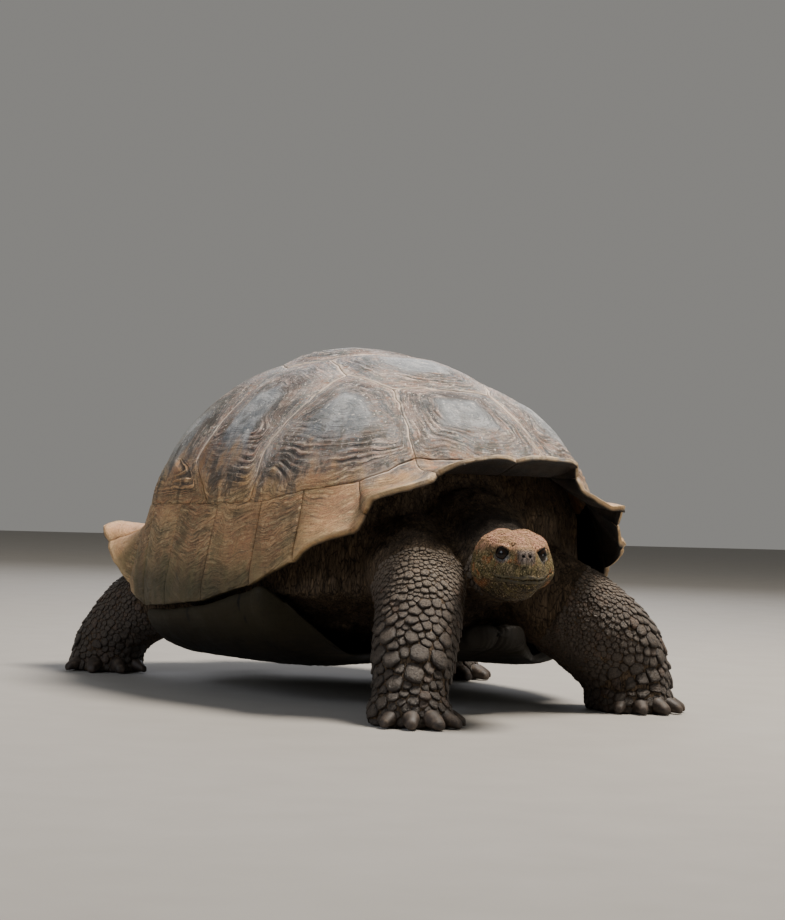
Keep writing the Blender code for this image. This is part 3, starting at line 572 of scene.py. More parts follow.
def buildStage():
    bpy.ops.object.camera_add(location=view["place"], rotation=[math.radians(a) for a in view["turn"]])
    camera = bpy.context.object
    camera.name = "camera"
    camera.data.lens = view["lens"]
    camera.data.sensor_width = view["sensor"]
    camera.data.clip_end = 60.0
    bpy.context.scene.camera = camera
    bpy.ops.mesh.primitive_plane_add(size=view["floorSize"], location=(0.0, 0.0, -0.0006))
    floor = bpy.context.object
    floor.name = "floor"
    bpy.ops.object.transform_apply(location=True)
    # painted plaster: quite matt, with a faint cloudiness
    material, add, shader, place = newMaterial("mattePaintedPlaster", {"Roughness": 0.9})
    grain = add("TexNoise", {"Vector": place, "Scale": 9.0, "Detail": 6.0})
    colour = add("Mix", {0: grain, 6: view["floor"], 7: view["floorPale"]}, 2, data_type="RGBA")
    floor.data.materials.append(finish(material, shader, {"Base Color": colour}))
    for name in ("key", "side", "rear", "glint"):
        lamp = view[name]
        aim = Vector(view["aim"]) - Vector(lamp["place"])
        turn = aim.to_track_quat("-Z", "Y").to_euler()
        bpy.ops.object.light_add(type="AREA", location=lamp["place"], rotation=turn)
        bpy.context.object.name = name + "Light"
        bpy.context.object.data.shape = "DISK"
        bpy.context.object.data.size = lamp["size"]
        bpy.context.object.data.energy = lamp["power"]
        bpy.context.object.data.color = linear(lamp["colour"])[:3]
    world = bpy.data.worlds.new("paleStudio")
    world.use_nodes = True
    world.node_tree.nodes["Background"].inputs["Color"].default_value = linear(view["backdrop"])
    world.node_tree.nodes["Background"].inputs["Strength"].default_value = view["skyStrength"]
    bpy.context.scene.world = world
    print("camera, floor and light set")


shellColours = {
    "slate": "#5D6165", "stone": "#98938F", "rose": "#AE8B78", "cream": "#D6C4B3", "shadow": "#2F3033",
    "umber": "#A67B55", "ochre": "#C6A070", "olive": "#7E7250", "straw": "#D3B587", "bark": "#463422",
    "steel": "#62686D", "mist": "#919496", "moss": "#656340", "dirt": "#2A231D", "chip": "#DDD5CB",
    "flare": "#D09C6C", "rust": "#A06C4C", "lichen": "#616C66", "drip": "#433726", "hemShade": "#33301C",
}


def shellHorn(name, isRim):
    # keratin horn, grown in rings: weathered and matt, slate on old crowns and pinkish tan in the new growth,
    # with painted shade between the fold ridges below each areola and, on the rim, over its lower part
    material, add, shader, place = newMaterial(name, {"IOR": 1.54, "Specular IOR Level": 0.4})
    grown = {key: add("Attribute", output="Fac", attribute_name=key)
             for key in ("growth", "share", "ridged", "groove", "fold", "underside", "rimEdge")}
    x, y, z = add("SeparateXYZ", {0: place}).node.outputs
    hanging = add("Mapping", {"Vector": place, "Scale": (1.0, 1.0, 0.28)})
    level = add("Mapping", {"Vector": place, "Scale": (1.0, 1.0, 3.2)})
    noise = {}
    for key, source, size, detail, roughness in (
            ("cloud", place, 0.16, 5.0, 0.55), ("blotch", place, 0.030, 7.0, 0.68),
            ("grit", place, 0.0034, 5.0, 0.68), ("chip", place, 0.0065, 3.0, 0.5),
            ("stain", hanging, 0.030, 6.0, 0.62), ("pit", place, 0.0016, 2.0, 0.5),
            ("speck", place, 0.0085, 3.0, 0.6), ("streak", level, 0.016, 9.0, 0.74),
            ("stripe", level, 0.024, 8.0, 0.70)):
        noise[key] = add("TexNoise", {"Vector": source, "Scale": 1.0 / size, "Detail": detail,
                                      "Roughness": roughness})
    # these lines lie along the growth rings: their noise changes fast across the rings and slowly along them
    for key, rate, length, detail in (("fine", 1.9, 0.060, 8.0), ("wide", 0.40, 0.12, 5.0),
                                      ("hair", 3.6, 0.040, 6.0), ("thread", 1.6, 0.050, 5.0)):
        along = add("VectorMath", {0: place, "Scale": 1.0 / length}, operation="SCALE")
        across = add("Math", {0: grown["growth"], 1: rate}, operation="MULTIPLY")
        noise[key] = add("TexNoise", {"Vector": along, "W": across, "Scale": 1.0, "Detail": detail,
                                      "Roughness": 0.66}, noise_dimensions="4D")
    off = add("Math", {0: noise["thread"], 1: 0.5}, operation="SUBTRACT")
    off = add("Math", {0: off}, operation="ABSOLUTE")
    # how low a place lies, with stains that run down the slope
    low = add("Math", {0: noise["cloud"], 1: 0.15, 2: z}, operation="MULTIPLY_ADD")
    low = add("Math", {0: noise["stain"], 1: 0.24, 2: low}, operation="MULTIPLY_ADD")
    lowRim = add("Math", {0: noise["stain"], 1: 0.10, 2: z}, operation="MULTIPLY_ADD")
    worn = add("Math", {0: noise["blotch"], 1: 0.28, 2: grown["share"]}, operation="MULTIPLY_ADD")
    cover = {"ridged": grown["ridged"]}
    for key, source, start, end, most in (
            # each cover grows from nought at start to its most at end, which may be another cover
            ("cloudy", noise["cloud"], 0.34, 0.66, 1.0), ("high", low, 0.57, 0.67, 1.0),
            ("broad", noise["wide"], 0.44, 0.58, "ridged"), ("rosy", noise["blotch"], 0.50, 0.64, 0.45),
            ("speckled", noise["speck"], 0.40, 0.58, "ridged"),
            ("pale", noise["fine"], 0.525, 0.575, "speckled"),
            ("dark", noise["fine"], 0.465, 0.41, "ridged"), ("thread", off, 0.018, 0.005, "ridged"),
            ("crowned", worn, 0.64, 0.50, 0.9), ("crown", low, 0.58, 0.70, "crowned"),
            # painted shade: trough, inner and band lay slate over the plate except on the crests of the fold
            # ridges
            ("mottle", noise["blotch"], 0.40, 0.60, 1.0), ("trough", grown["fold"], 0.50, 0.12, "ridged"),
            ("inner", grown["share"], 0.95, 0.72, "trough"), ("band", noise["blotch"], 0.34, 0.55, "inner"),
            ("rear", y, -0.05, 0.42, 1.0), ("bloom", noise["cloud"], 0.38, 0.62, "rear"),
            ("scratch", noise["hair"], 0.46, 0.37, 0.55), ("gritty", noise["grit"], 0.50, 0.66, 0.50),
            ("flaked", noise["chip"], 0.65, 0.69, 0.65), ("flecky", noise["streak"], 0.555, 0.60, 0.55),
            ("rusty", noise["streak"], 0.455, 0.40, 0.55), ("mossy", noise["stripe"], 0.47, 0.41, 0.60),
            ("flow", z, 0.56, 0.47, 0.75), ("dripping", noise["stain"], 0.53, 0.60, "flow"),
            ("chip", low, 0.60, 0.70, "flaked"), ("margin", grown["groove"], 0.01, 0.10, "high"),
            ("lit", noise["wide"], 0.36, 0.52, "margin"), ("seam", grown["groove"], 0.55, 0.97, 1.0),
            ("cracked", low, 0.56, 0.66, "seam"), ("crack", noise["blotch"], 0.30, 0.52, "cracked"),
            ("tip", noise["blotch"], 0.30, 0.55, grown["rimEdge"]), ("hind", y, 0.36, 0.50, 0.45),
            ("skirt", z, 0.34, 0.20, 0.60), ("green", noise["stain"], 0.40, 0.60, "skirt"),
            # painted shade: hem darkens the lower part of the rim, except at the rear, where the rim turns
            # under
            ("forward", y, 0.34, 0.26, 1.0), ("hem", lowRim, 0.335, 0.240, "forward"),
            ("sooty", low, 0.585, 0.64, 0.85), ("inked", noise["wide"], 0.52, 0.42, "sooty")):
        most = cover[most] if isinstance(most, str) else most
        cover[key] = add("MapRange", {0: source, 1: start, 2: end, 4: most}, interpolation_type="SMOOTHSTEP")
    # covers laid over one another, with the tint of each and how strong it is
    upper = (
        ("cloudy", "stone", 1.0), ("broad", "rose", 0.60), ("rosy", "rose", 1.0), ("inked", "slate", 1.0),
        ("mossy", "lichen", 1.0), ("rusty", "rust", 1.0), ("flecky", "cream", 1.0), ("pale", "cream", 0.75),
        ("dark", "shadow", 0.52))
    lower = (
        ("cloudy", "ochre", 1.0), ("broad", "olive", 0.60), ("rusty", "rust", 1.0), ("flecky", "straw", 1.0),
        ("pale", "straw", 0.75), ("dark", "bark", 0.52))
    # the weathering layers; band among them is painted shade between the fold ridges, and hem, added on the
    # rim below, is painted shade over the rim's lower part
    weatherAndShade = (
        ("crown", "crowning", 1.0), ("band", "shadow", 0.25 if isRim else 0.80),
        ("dripping", "drip", 0.30 if isRim else 0.75), ("thread", "dirt", 0.55), ("bloom", "moss", 0.35),
        ("scratch", "shadow", 1.0), ("gritty", "dirt", 1.0), ("chip", "chip", 1.0), ("lit", "cream", 0.75),
        ("crack", "dirt", 0.28 if isRim else 0.60))
    # on the rim: moss low down, a paler flare at the rear, straw along the free edge, and hem, painted shade
    # darkening its lower part
    if isRim:
        weatherAndShade += (("green", "moss", 1.0), ("hind", "flare", 1.0), ("tip", "straw", 0.45),
                    ("hem", "hemShade", 0.88))
    tint = dict(shellColours)
    crowning = {0: cover["mottle"], 6: tint["steel"], 7: tint["mist"]}
    tint["crowning"] = add("Mix", crowning, 2, data_type="RGBA")

    def layered(colour, layers):
        for key, paint, strength in layers:
            share = cover[key]
            if strength < 1.0:
                share = add("Math", {0: share, 1: strength}, operation="MULTIPLY")
            colour = add("Mix", {0: share, 6: colour, 7: tint[paint]}, 2, data_type="RGBA")
        return colour

    halves = {0: cover["high"], 6: layered(tint["umber"], lower), 7: layered(tint["slate"], upper)}
    colour = layered(add("Mix", halves, 2, data_type="RGBA"), weatherAndShade)
    if isRim:
        under = add("Mix", {0: cover["mottle"], 6: "#15100B", 7: "#2A2018"}, 2, data_type="RGBA")
        colour = add("Mix", {0: grown["underside"], 6: colour, 7: under}, 2, data_type="RGBA")
    rough = add("MapRange", {0: noise["blotch"], 1: 0.3, 2: 0.7, 3: 0.52, 4: 0.78})
    # growth lines a fraction of a millimetre deep, scratches and pits from years of wear
    relief = noise["pit"]
    for source, share in ((noise["grit"], 2.6), (noise["fine"], 7.0), (noise["hair"], 3.0),
                          (cover["thread"], -2.4)):
        relief = add("Math", {0: source, 1: share, 2: relief}, operation="MULTIPLY_ADD")
    bump = add("Bump", {"Height": relief, "Strength": 0.9, "Distance": 0.00045})
    return finish(material, shader, {"Base Color": colour, "Roughness": rough, "Normal": bump})


def plainHorn(name, stops, size, roughness):
    # smooth keratin of claws and beak: mottled, with grit in its fine streaks, and a dull gloss
    material, add, shader, place = newMaterial(name, {"IOR": 1.54, "Specular IOR Level": 0.35})
    blotch = add("TexNoise", {"Vector": place, "Scale": 1.0 / size, "Detail": 6.0, "Roughness": 0.62})
    grit = add("TexNoise", {"Vector": place, "Scale": 550.0, "Detail": 4.0, "Roughness": 0.6})
    colour = coat(add, stops[0], ((blotch, 0.34, 0.50, 1.0, stops[1]), (blotch, 0.52, 0.68, 1.0, stops[2]),
                                  (grit, 0.45, 0.70, 0.45, "#1E1814")))
    rough = add("MapRange", {0: blotch, 1: 0.3, 2: 0.7, 3: roughness - 0.1, 4: roughness + 0.14})
    relief = add("Math", {0: blotch, 1: 2.0, 2: grit}, operation="MULTIPLY_ADD")
    bump = add("Bump", {"Height": relief, "Strength": 0.6, "Distance": 0.0007})
    return finish(material, shader, {"Base Color": colour, "Roughness": rough, "Normal": bump})


limbs = {
    # stations along each limb: place, half-width, half-height
    "neck": (((0.0, -0.280, 0.300), 0.125, 0.115), ((0.0, -0.400, 0.296), 0.118, 0.108),
             ((-0.008, -0.465, 0.286), 0.092, 0.088), ((-0.020, -0.525, 0.274), 0.072, 0.072),
             ((-0.036, -0.575, 0.262), 0.060, 0.060), ((-0.052, -0.615, 0.260), 0.050, 0.050)),
    "legFrontRight": (((-0.100, -0.260, 0.285), 0.083, 0.083), ((-0.120, -0.360, 0.275), 0.088, 0.088),
                      ((-0.145, -0.450, 0.245), 0.086, 0.086), ((-0.172, -0.515, 0.195), 0.078, 0.080),
                      ((-0.202, -0.556, 0.140), 0.074, 0.077), ((-0.229, -0.594, 0.090), 0.069, 0.070),
                      ((-0.243, -0.613, 0.055), 0.063, 0.063), ((-0.250, -0.622, 0.025), 0.072, 0.070),
                      ((-0.250, -0.624, 0.0), 0.070, 0.068)),
    "legFrontLeft": (((0.090, -0.270, 0.260), 0.085, 0.085), ((0.140, -0.350, 0.232), 0.090, 0.090),
                     ((0.198, -0.405, 0.190), 0.090, 0.092), ((0.252, -0.435, 0.150), 0.090, 0.092),
                     ((0.298, -0.450, 0.105), 0.090, 0.090), ((0.319, -0.460, 0.060), 0.082, 0.080),
                     ((0.321, -0.462, 0.028), 0.088, 0.082), ((0.321, -0.464, 0.0), 0.087, 0.080)),
    "legRearRight": (((-0.150, 0.220, 0.205), 0.080, 0.080), ((-0.220, 0.320, 0.180), 0.080, 0.080),
                     ((-0.275, 0.390, 0.135), 0.078, 0.078), ((-0.306, 0.440, 0.085), 0.072, 0.070),
                     ((-0.318, 0.462, 0.040), 0.074, 0.074), ((-0.320, 0.468, 0.0), 0.078, 0.078)),
    "legRearLeft": (((0.150, 0.270, 0.205), 0.080, 0.080), ((0.225, 0.272, 0.170), 0.078, 0.078),
                    ((0.290, 0.255, 0.125), 0.074, 0.074), ((0.330, 0.232, 0.080), 0.068, 0.068),
                    ((0.345, 0.222, 0.040), 0.070, 0.070), ((0.348, 0.218, 0.0), 0.074, 0.072)),
    "tail": (((0.0, 0.390, 0.215), 0.058, 0.052), ((0.006, 0.455, 0.192), 0.048, 0.044),
             ((0.024, 0.500, 0.158), 0.036, 0.034), ((0.052, 0.514, 0.122), 0.026, 0.024),
             ((0.084, 0.508, 0.096), 0.017, 0.016), ((0.108, 0.494, 0.082), 0.009, 0.009)),
}
headStations = (
    # along the head from the back, then half its width, its height above and its depth below the middle line
    (0.000, 0.050, 0.046, 0.045), (0.025, 0.061, 0.057, 0.052), (0.055, 0.069, 0.0645, 0.055),
    (0.085, 0.069, 0.0630, 0.056), (0.110, 0.060, 0.0595, 0.0545), (0.132, 0.0490, 0.0550, 0.0510),
    (0.152, 0.0410, 0.049, 0.047), (0.170, 0.0320, 0.043, 0.042), (0.183, 0.0245, 0.035, 0.033),
    (0.1895, 0.0125, 0.022, 0.020),
)
skin = {"voxel": 0.00654, "smoothing": 7, "sink": 0.0014, "fold": 0.0062, "sides": 44, "steps": 12}
claws = {
    "front": 5, "rear": 4, "frontSpread": 118.0, "rearSpread": 100.0, "length": 0.038, "halfWidth": 0.0162,
    "height": 0.0150, "root": 0.93, "taper": 0.18,
    "heading": {"legFrontRight": 0.0, "legFrontLeft": 4.0, "legRearRight": -24.0, "legRearLeft": 14.0},
    # along the claw: share of its length, fall, width and height shares
    "stations": ((-0.55, 0.0, 0.86, 0.90), (-0.1, -0.002, 0.98, 1.02), (0.25, -0.001, 0.96, 0.96),
                 (0.55, 0.0020, 0.82, 0.78), (0.80, 0.0050, 0.66, 0.62), (0.94, 0.0070, 0.50, 0.46),
                 (1.00, 0.0085, 0.24, 0.22)),
}
legNames = ("legFrontRight", "legFrontLeft", "legRearRight", "legRearLeft")


def splineThrough(rows, steps):
    # a smooth run of rows through every given row
    rows = np.asarray(rows, dtype=float)
    padded = np.vstack((2 * rows[:1] - rows[1:2], rows, 2 * rows[-1:] - rows[-2:-1]))
    spots = np.linspace(0.0, len(rows) - 1.0, (len(rows) - 1) * steps + 1)
    start = np.minimum(spots.astype(int), len(rows) - 2)
    t = (spots - start)[:, None]
    p0, p1, p2, p3 = (padded[start + i] for i in range(4))
    return 0.5 * (2 * p1 + (p2 - p0) * t + (2 * p0 - 5 * p1 + 4 * p2 - p3) * t ** 2
                  + (3 * p1 - p0 - 3 * p2 + p3) * t ** 3)


def limbFrames(name):
    # centres, half sizes and the two cross directions down a limb
    rows = splineThrough([(*place, wide, high) for place, wide, high in limbs[name]], skin["steps"])
    centres = rows[:, :3]
    ahead = unit(np.gradient(centres, axis=0))
    if name.startswith("leg"):
        ahead[-skin["steps"]:] = (0.0, 0.0, -1.0)
    across, upward = np.zeros_like(ahead), np.zeros_like(ahead)
    last = np.cross(ahead[0], (0.0, 0.0, 1.0))
    for i, direction in enumerate(ahead):
        last = unit(last - direction * (last @ direction))
        across[i] = last
        upward[i] = np.cross(last, direction)
    return centres, rows[:, 3], rows[:, 4], across, upward


def loopMesh(name, rings):
    # a closed mesh from rings of points, capped at both ends
    rings = np.asarray(rings)
    size = rings.shape[1]
    faces = ringFaces(size, len(rings))
    faces += [tuple(range(size)), tuple(range((len(rings) - 1) * size, len(rings) * size))]
    mesh = bpy.data.meshes.new(name)
    mesh.from_pydata((rings.reshape(-1, 3) + shift).tolist(), [], faces)
    with openShape(mesh) as shape:
        bmesh.ops.recalc_face_normals(shape, faces=shape.faces)
    thing = bpy.data.objects.new(name, mesh)
    bpy.context.collection.objects.link(thing)
    return thing


def limbMesh(name):
    # an oval tube along the middle line of the limb
    centres, wide, high, across, upward = limbFrames(name)
    angles = np.linspace(0.0, 2.0 * math.pi, skin["sides"], endpoint=False)
    rings = (centres[:, None] + across[:, None] * np.cos(angles)[None, :, None] * wide[:, None, None]
             + upward[:, None] * np.sin(angles)[None, :, None] * high[:, None, None])
    return loopMesh(name, rings)


def headMesh():
    # a head with rounded square sections, narrowing to the beak
    rows = splineThrough(headStations, 6)
    angles = np.linspace(0.0, 2.0 * math.pi, 64, endpoint=False)
    cosine, sine = np.cos(angles), np.sin(angles)
    x = np.sign(cosine) * np.abs(cosine) ** 0.86
    z = np.sign(sine) * np.abs(sine) ** 0.86
    back = np.array(head["tip"]) - headAhead * head["length"]
    rings = [back + headAhead * along + headAcross * (x * wide)[:, None]
             + headUp * (z * np.where(z > 0.0, above, below))[:, None] for along, wide, above, below in rows]
    return loopMesh("head", rings)


def headPlace(points):
    # sideways, ahead of the tip (so always behind it and negative) and up, for points of the finished frame
    offset = points - shift - np.array(head["tip"])
    return np.stack((offset @ headAcross, offset @ headAhead, offset[:, 2]), axis=1)


def nostrilPlace(side):
    return np.array((side * 0.0058, -0.006, 0.0225))


def mouthLine(spots):
    # the height of the mouth at each place of the head, rising towards its corner
    back = np.clip(-spots[:, 1] / head["mouthLength"], 0.0, 1.2)
    rise = math.tan(math.radians(head["mouthSlope"])) * head["mouthLength"]
    waver = 0.0007 * np.sin(spots[:, 0] * 190.0) + 0.0005 * np.sin(spots[:, 0] * 470.0 + 1.0)
    return head["mouthHeight"] + waver + rise * np.interp(back, (0.0, 0.45, 1.0, 1.2), (0.0, 0.15, 1.0, 0.9))


def clawPlaces(name):
    kind = "front" if "Front" in name else "rear"
    foot, wide, deep = limbs[name][-1]
    spread = math.radians(claws[kind + "Spread"]) * (0.85 if name == "legFrontLeft" else 1.0)
    places = []
    for i in range(claws[kind]):
        share = i / (claws[kind] - 1)
        turn = math.radians(claws["heading"][name]) + spread * (share - 0.5)
        reach = min(wide, deep) * claws["root"]
        root = np.array((foot[0] + math.sin(turn) * reach, foot[1] - math.cos(turn) * reach, claws["height"]))
        places.append((root, turn, 1.0 - claws["taper"] * abs(2.0 * share - 1.0)))
    return places


headForms = (
    # sideways, ahead, up; reach of the form in each; how far it rises; each is also mirrored
    ((0.021, -0.122, 0.060), (0.016, 0.034, 0.014), 0.0042),     # lobe of the crown
    ((0.044, -0.074, 0.042), (0.013, 0.022, 0.013), 0.0030),     # outer corner of the brow
    ((0.000, -0.118, 0.062), (0.008, 0.050, 0.012), -0.0026),    # dip between the lobes
    ((0.000, -0.024, 0.040), (0.016, 0.016, 0.010), -0.0030),    # slope from the brow to the snout
    ((0.022, -0.020, 0.018), (0.007, 0.014, 0.016), -0.0050),    # hollow before the eye
    ((0.0165, -0.008, 0.002), (0.0045, 0.012, 0.016), -0.0026),  # groove beside the snout
    ((0.000, -0.002, 0.006), (0.011, 0.012, 0.020), 0.0030),     # ridge of the snout
    ((0.034, -0.036, 0.000), (0.012, 0.016, 0.008), 0.0028),     # cheek under the eye
    ((0.058, -0.096, 0.028), (0.012, 0.020, 0.016), -0.0012),    # temple
    ((0.048, -0.112, 0.048), (0.015, 0.030, 0.015), 0.0040),     # rear corner of the crown
    ((0.064, -0.104, -0.006), (0.014, 0.022, 0.014), 0.0030),    # jaw muscle
    ((0.009, -0.006, 0.025), (0.006, 0.008, 0.006), 0.0018),     # wing of the nostril
    ((0.000, -0.020, -0.048), (0.030, 0.030, 0.012), -0.0030),   # the chin draws back
    ((0.048, -0.085, -0.044), (0.020, 0.055, 0.018), -0.0100),   # lower edge of the jaw
)
eyeForm = {
    "openWide": 1.00, "openUp": 0.60, "openDown": 0.50, "lid": 0.0016, "sunk": 0.76,
    "gaze": (0.64, 0.77, 0.02), "roll": 14.0, "reach": (1.35, 2.1),
    "brow": 0.0012, "browAt": 1.55, "browWidth": 0.50,
}


def eyeGaze(side):
    sideways, forward, up = eyeForm["gaze"]
    gaze = unit(headAcross * side * sideways + headAhead * forward + headUp * up)
    level = unit(np.cross(headUp, gaze)) * side
    roll = math.radians(eyeForm["roll"])
    upright = unit(np.cross(gaze, level)) * side
    across = level * math.cos(roll) + upright * math.sin(roll)
    return gaze, across, upright * math.cos(roll) - level * math.sin(roll)


def refine(mesh, chosen):
    # splits the chosen faces of a mesh in four
    with openShape(mesh) as shape:
        shape.faces.ensure_lookup_table()
        edges = {edge for i in np.nonzero(chosen)[0] for edge in shape.faces[int(i)].edges}
        bmesh.ops.subdivide_edges(shape, edges=list(edges), cuts=1, use_grid_fill=True)


def meshPoints(mesh):
    points = np.empty(len(mesh.vertices) * 3)
    mesh.vertices.foreach_get("co", points)
    return points.reshape(-1, 3)


def meshNormals(mesh):
    normals = np.empty(len(mesh.vertices) * 3)
    mesh.vertex_normals.foreach_get("vector", normals)
    return normals.reshape(-1, 3)


def faceMiddles(mesh):
    middles = np.empty(len(mesh.polygons) * 3)
    mesh.polygons.foreach_get("center", middles)
    return middles.reshape(-1, 3)


def relax(mesh, weights, rounds):
    # evens out the points of a mesh where weights are above nought
    points = meshPoints(mesh)
    edges = np.empty(len(mesh.edges) * 2, dtype=np.int64)
    mesh.edges.foreach_get("vertices", edges)
    a, b = edges.reshape(-1, 2).T
    count = np.bincount(np.concatenate((a, b)), minlength=len(points))[:, None]
    for _ in range(rounds):
        total = np.stack([
            np.bincount(a, points[b, i], len(points)) + np.bincount(b, points[a, i], len(points))
            for i in range(3)], axis=1)
        points += (total / np.maximum(count, 1) - points) * (0.6 * weights)[:, None]
    mesh.vertices.foreach_set("co", points.ravel())
    mesh.update()


def nearLimb(name, points):
    # for points of the finished frame: share down the limb, angle round it and distance from its middle line
    centres, wide, _, across, upward = limbFrames(name)
    local = points - shift
    gap = np.full(len(points), 9.0)
    row = np.zeros(len(points), dtype=int)
    for i in range(0, len(centres), 2):
        distance = np.linalg.norm(local - centres[i], axis=1)
        closer = distance < gap
        gap[closer], row[closer] = distance[closer], i
    offset = local - centres[row]
    angle = np.arctan2(np.einsum("ij,ij->i", offset, upward[row]), np.einsum("ij,ij->i", offset, across[row]))
    return row / (len(centres) - 1.0), angle, gap / wide[row]


def creased(points, size, seed):
    # sharp valleys between soft swellings, from 0 to 1
    return np.abs(latticeNoise(points, size, seed)) ** 0.7


def shapeSkin(mesh):
    # folds, wrinkles, toes and the forms of the head
    points, normals = meshPoints(mesh), meshNormals(mesh)
    spots = headPlace(points)
    near = (np.abs(spots[:, 0]) < 0.1) & (np.abs(spots[:, 2]) < 0.1)
    onHead = smoothStep(spots[:, 1], -0.185, -0.150) * near
    move = np.full(len(points), -skin["sink"]) * (1.0 - onHead * 0.4)
    share, angle, gap = nearLimb("neck", points)
    # loose skin: long folds that run round the throat and down the shoulders
    stretched = points * np.array((1.0, 1.0, 0.20))
    folds = creased(stretched, 0.026, 41) * 0.58 + creased(stretched, 0.014, 43) * 0.42
    legShare = np.zeros(len(points))
    for number, name in enumerate(legNames):
        down, turn, reach = nearLimb(name, points)
        onLeg = smoothStep(reach, 1.5, 1.12)
        legShare = np.maximum(legShare, onLeg * smoothStep(down, 0.22, 0.42))
        # a few deep creases above the foot
        crease = hill(down - 0.80 - 0.012 * np.sin(turn * 2.0 + number), 0.012)
        crease += 0.7 * hill(down - 0.70 - 0.016 * np.sin(turn * 2.0 + 1.0 + number), 0.012)
        move -= onLeg * crease * 0.0038
        for root, heading, size in clawPlaces(name):
            offset = points - shift - root - np.array((-math.sin(heading), math.cos(heading), 0.0)) * 0.006
            ball = np.linalg.norm(offset * np.array((1.0, 1.0, 0.72)), axis=1)
            move += 0.0042 * size * hill(ball, 0.017) * onLeg
    foldAmount = (1.0 - legShare * 0.85) * (1.0 - onHead)
    move += (folds - 0.55) * skin["fold"] * 2.0 * foldAmount
    fineFolds = creased(points * np.array((1.0, 1.0, 0.5)), 0.0075, 47) - 0.5
    move += fineFolds * 0.0012 * foldAmount
    # a collar of skin behind the skull
    collar = hill(spots[:, 1] + 0.188 + 0.010 * np.cos(angle), 0.010)
    move += collar * 0.0040 * smoothStep(gap, 1.7, 1.2)
    for form, reach, rise in headForms:
        for side in ((1.0, -1.0) if form[0] else (1.0,)):
            move += rise * lump(spots, np.array(form) * np.array((side, 1.0, 1.0)), reach) * onHead
    below = spots[:, 2] - mouthLine(spots)
    inMouth = smoothStep(spots[:, 1], -head["mouthLength"] - 0.004, -head["mouthLength"] + 0.006) * onHead
    move -= 0.0030 * hill(below, 0.0013) * inMouth
    move += 0.0011 * hill(below - 0.0042, 0.0026) * inMouth
    move += 0.0009 * hill(below + 0.0046, 0.0030) * inMouth
    # throat wrinkles
    throat = smoothStep(spots[:, 2], -0.024, -0.044) * onHead
    move += throat * (creased(spots * np.array((0.35, 1.0, 1.0)), 0.0085, 51) - 0.5) * 0.0022
    for side in (1.0, -1.0):
        move -= 0.0050 * lump(spots, nostrilPlace(side), (0.0026, 0.012, 0.0023))
        drum = (spots - np.array((side * 0.066, -0.122, -0.004))) * np.array((0.4, 1.0, 1.0))
        drum = np.linalg.norm(drum, axis=1)
        move += (0.0010 * hill(drum - 0.0125, 0.0022) - 0.0014 * np.exp(-(drum / 0.010) ** 4)) * onHead
    points = points + normals * move[:, None]
    for side in (1.0, -1.0):
        points = shapeLids(points, side)
    points[:, 2] = np.maximum(points[:, 2], 0.0006)
    mesh.vertices.foreach_set("co", points.ravel())
    mesh.update()


def shapeLids(points, side):
    # lids close over the eyeball, and leave an almond opening through which it shows
    centre = eyePlace(side) + shift
    gaze, level, upright = eyeGaze(side)
    offset = points - centre
    reach = np.linalg.norm(offset, axis=1)
    direction = offset / np.maximum(reach, 1e-9)[:, None]
    across, up, out = direction @ level, direction @ upright, direction @ gaze
    almond = almondOf(across, up)
    near = smoothStep(reach, 0.034, 0.026) * smoothStep(out, 0.05, 0.25)
    weight = smoothStep(almond, eyeForm["reach"][1], eyeForm["reach"][0]) * near
    radius = head["eyeRadius"]
    rimBump = 0.0007 * hill(almond - 1.22, 0.16)
    crease = -0.0003 * hill(almond - 1.6, 0.14) * smoothStep(up, 0.0, -0.25)
    # the brow stands out over the eye like the peak of a cap
    brow = eyeForm["brow"] * hill(almond - eyeForm["browAt"], eyeForm["browWidth"])
    brow = brow * smoothStep(up, 0.05, 0.30)
    lid = radius + eyeForm["lid"] + rimBump + crease + brow
    target = radius * eyeForm["sunk"] + (lid - radius * eyeForm["sunk"]) * smoothStep(almond, 0.93, 1.08)
    return centre + direction * (reach + (target - reach) * weight)[:, None]


def almondOf(across, up):
    # one on the edge of the eye's opening, more outside it
    high = np.where(up > 0.0, eyeForm["openUp"], eyeForm["openDown"])
    return np.sqrt((across / eyeForm["openWide"]) ** 2 + (up / high) ** 2)


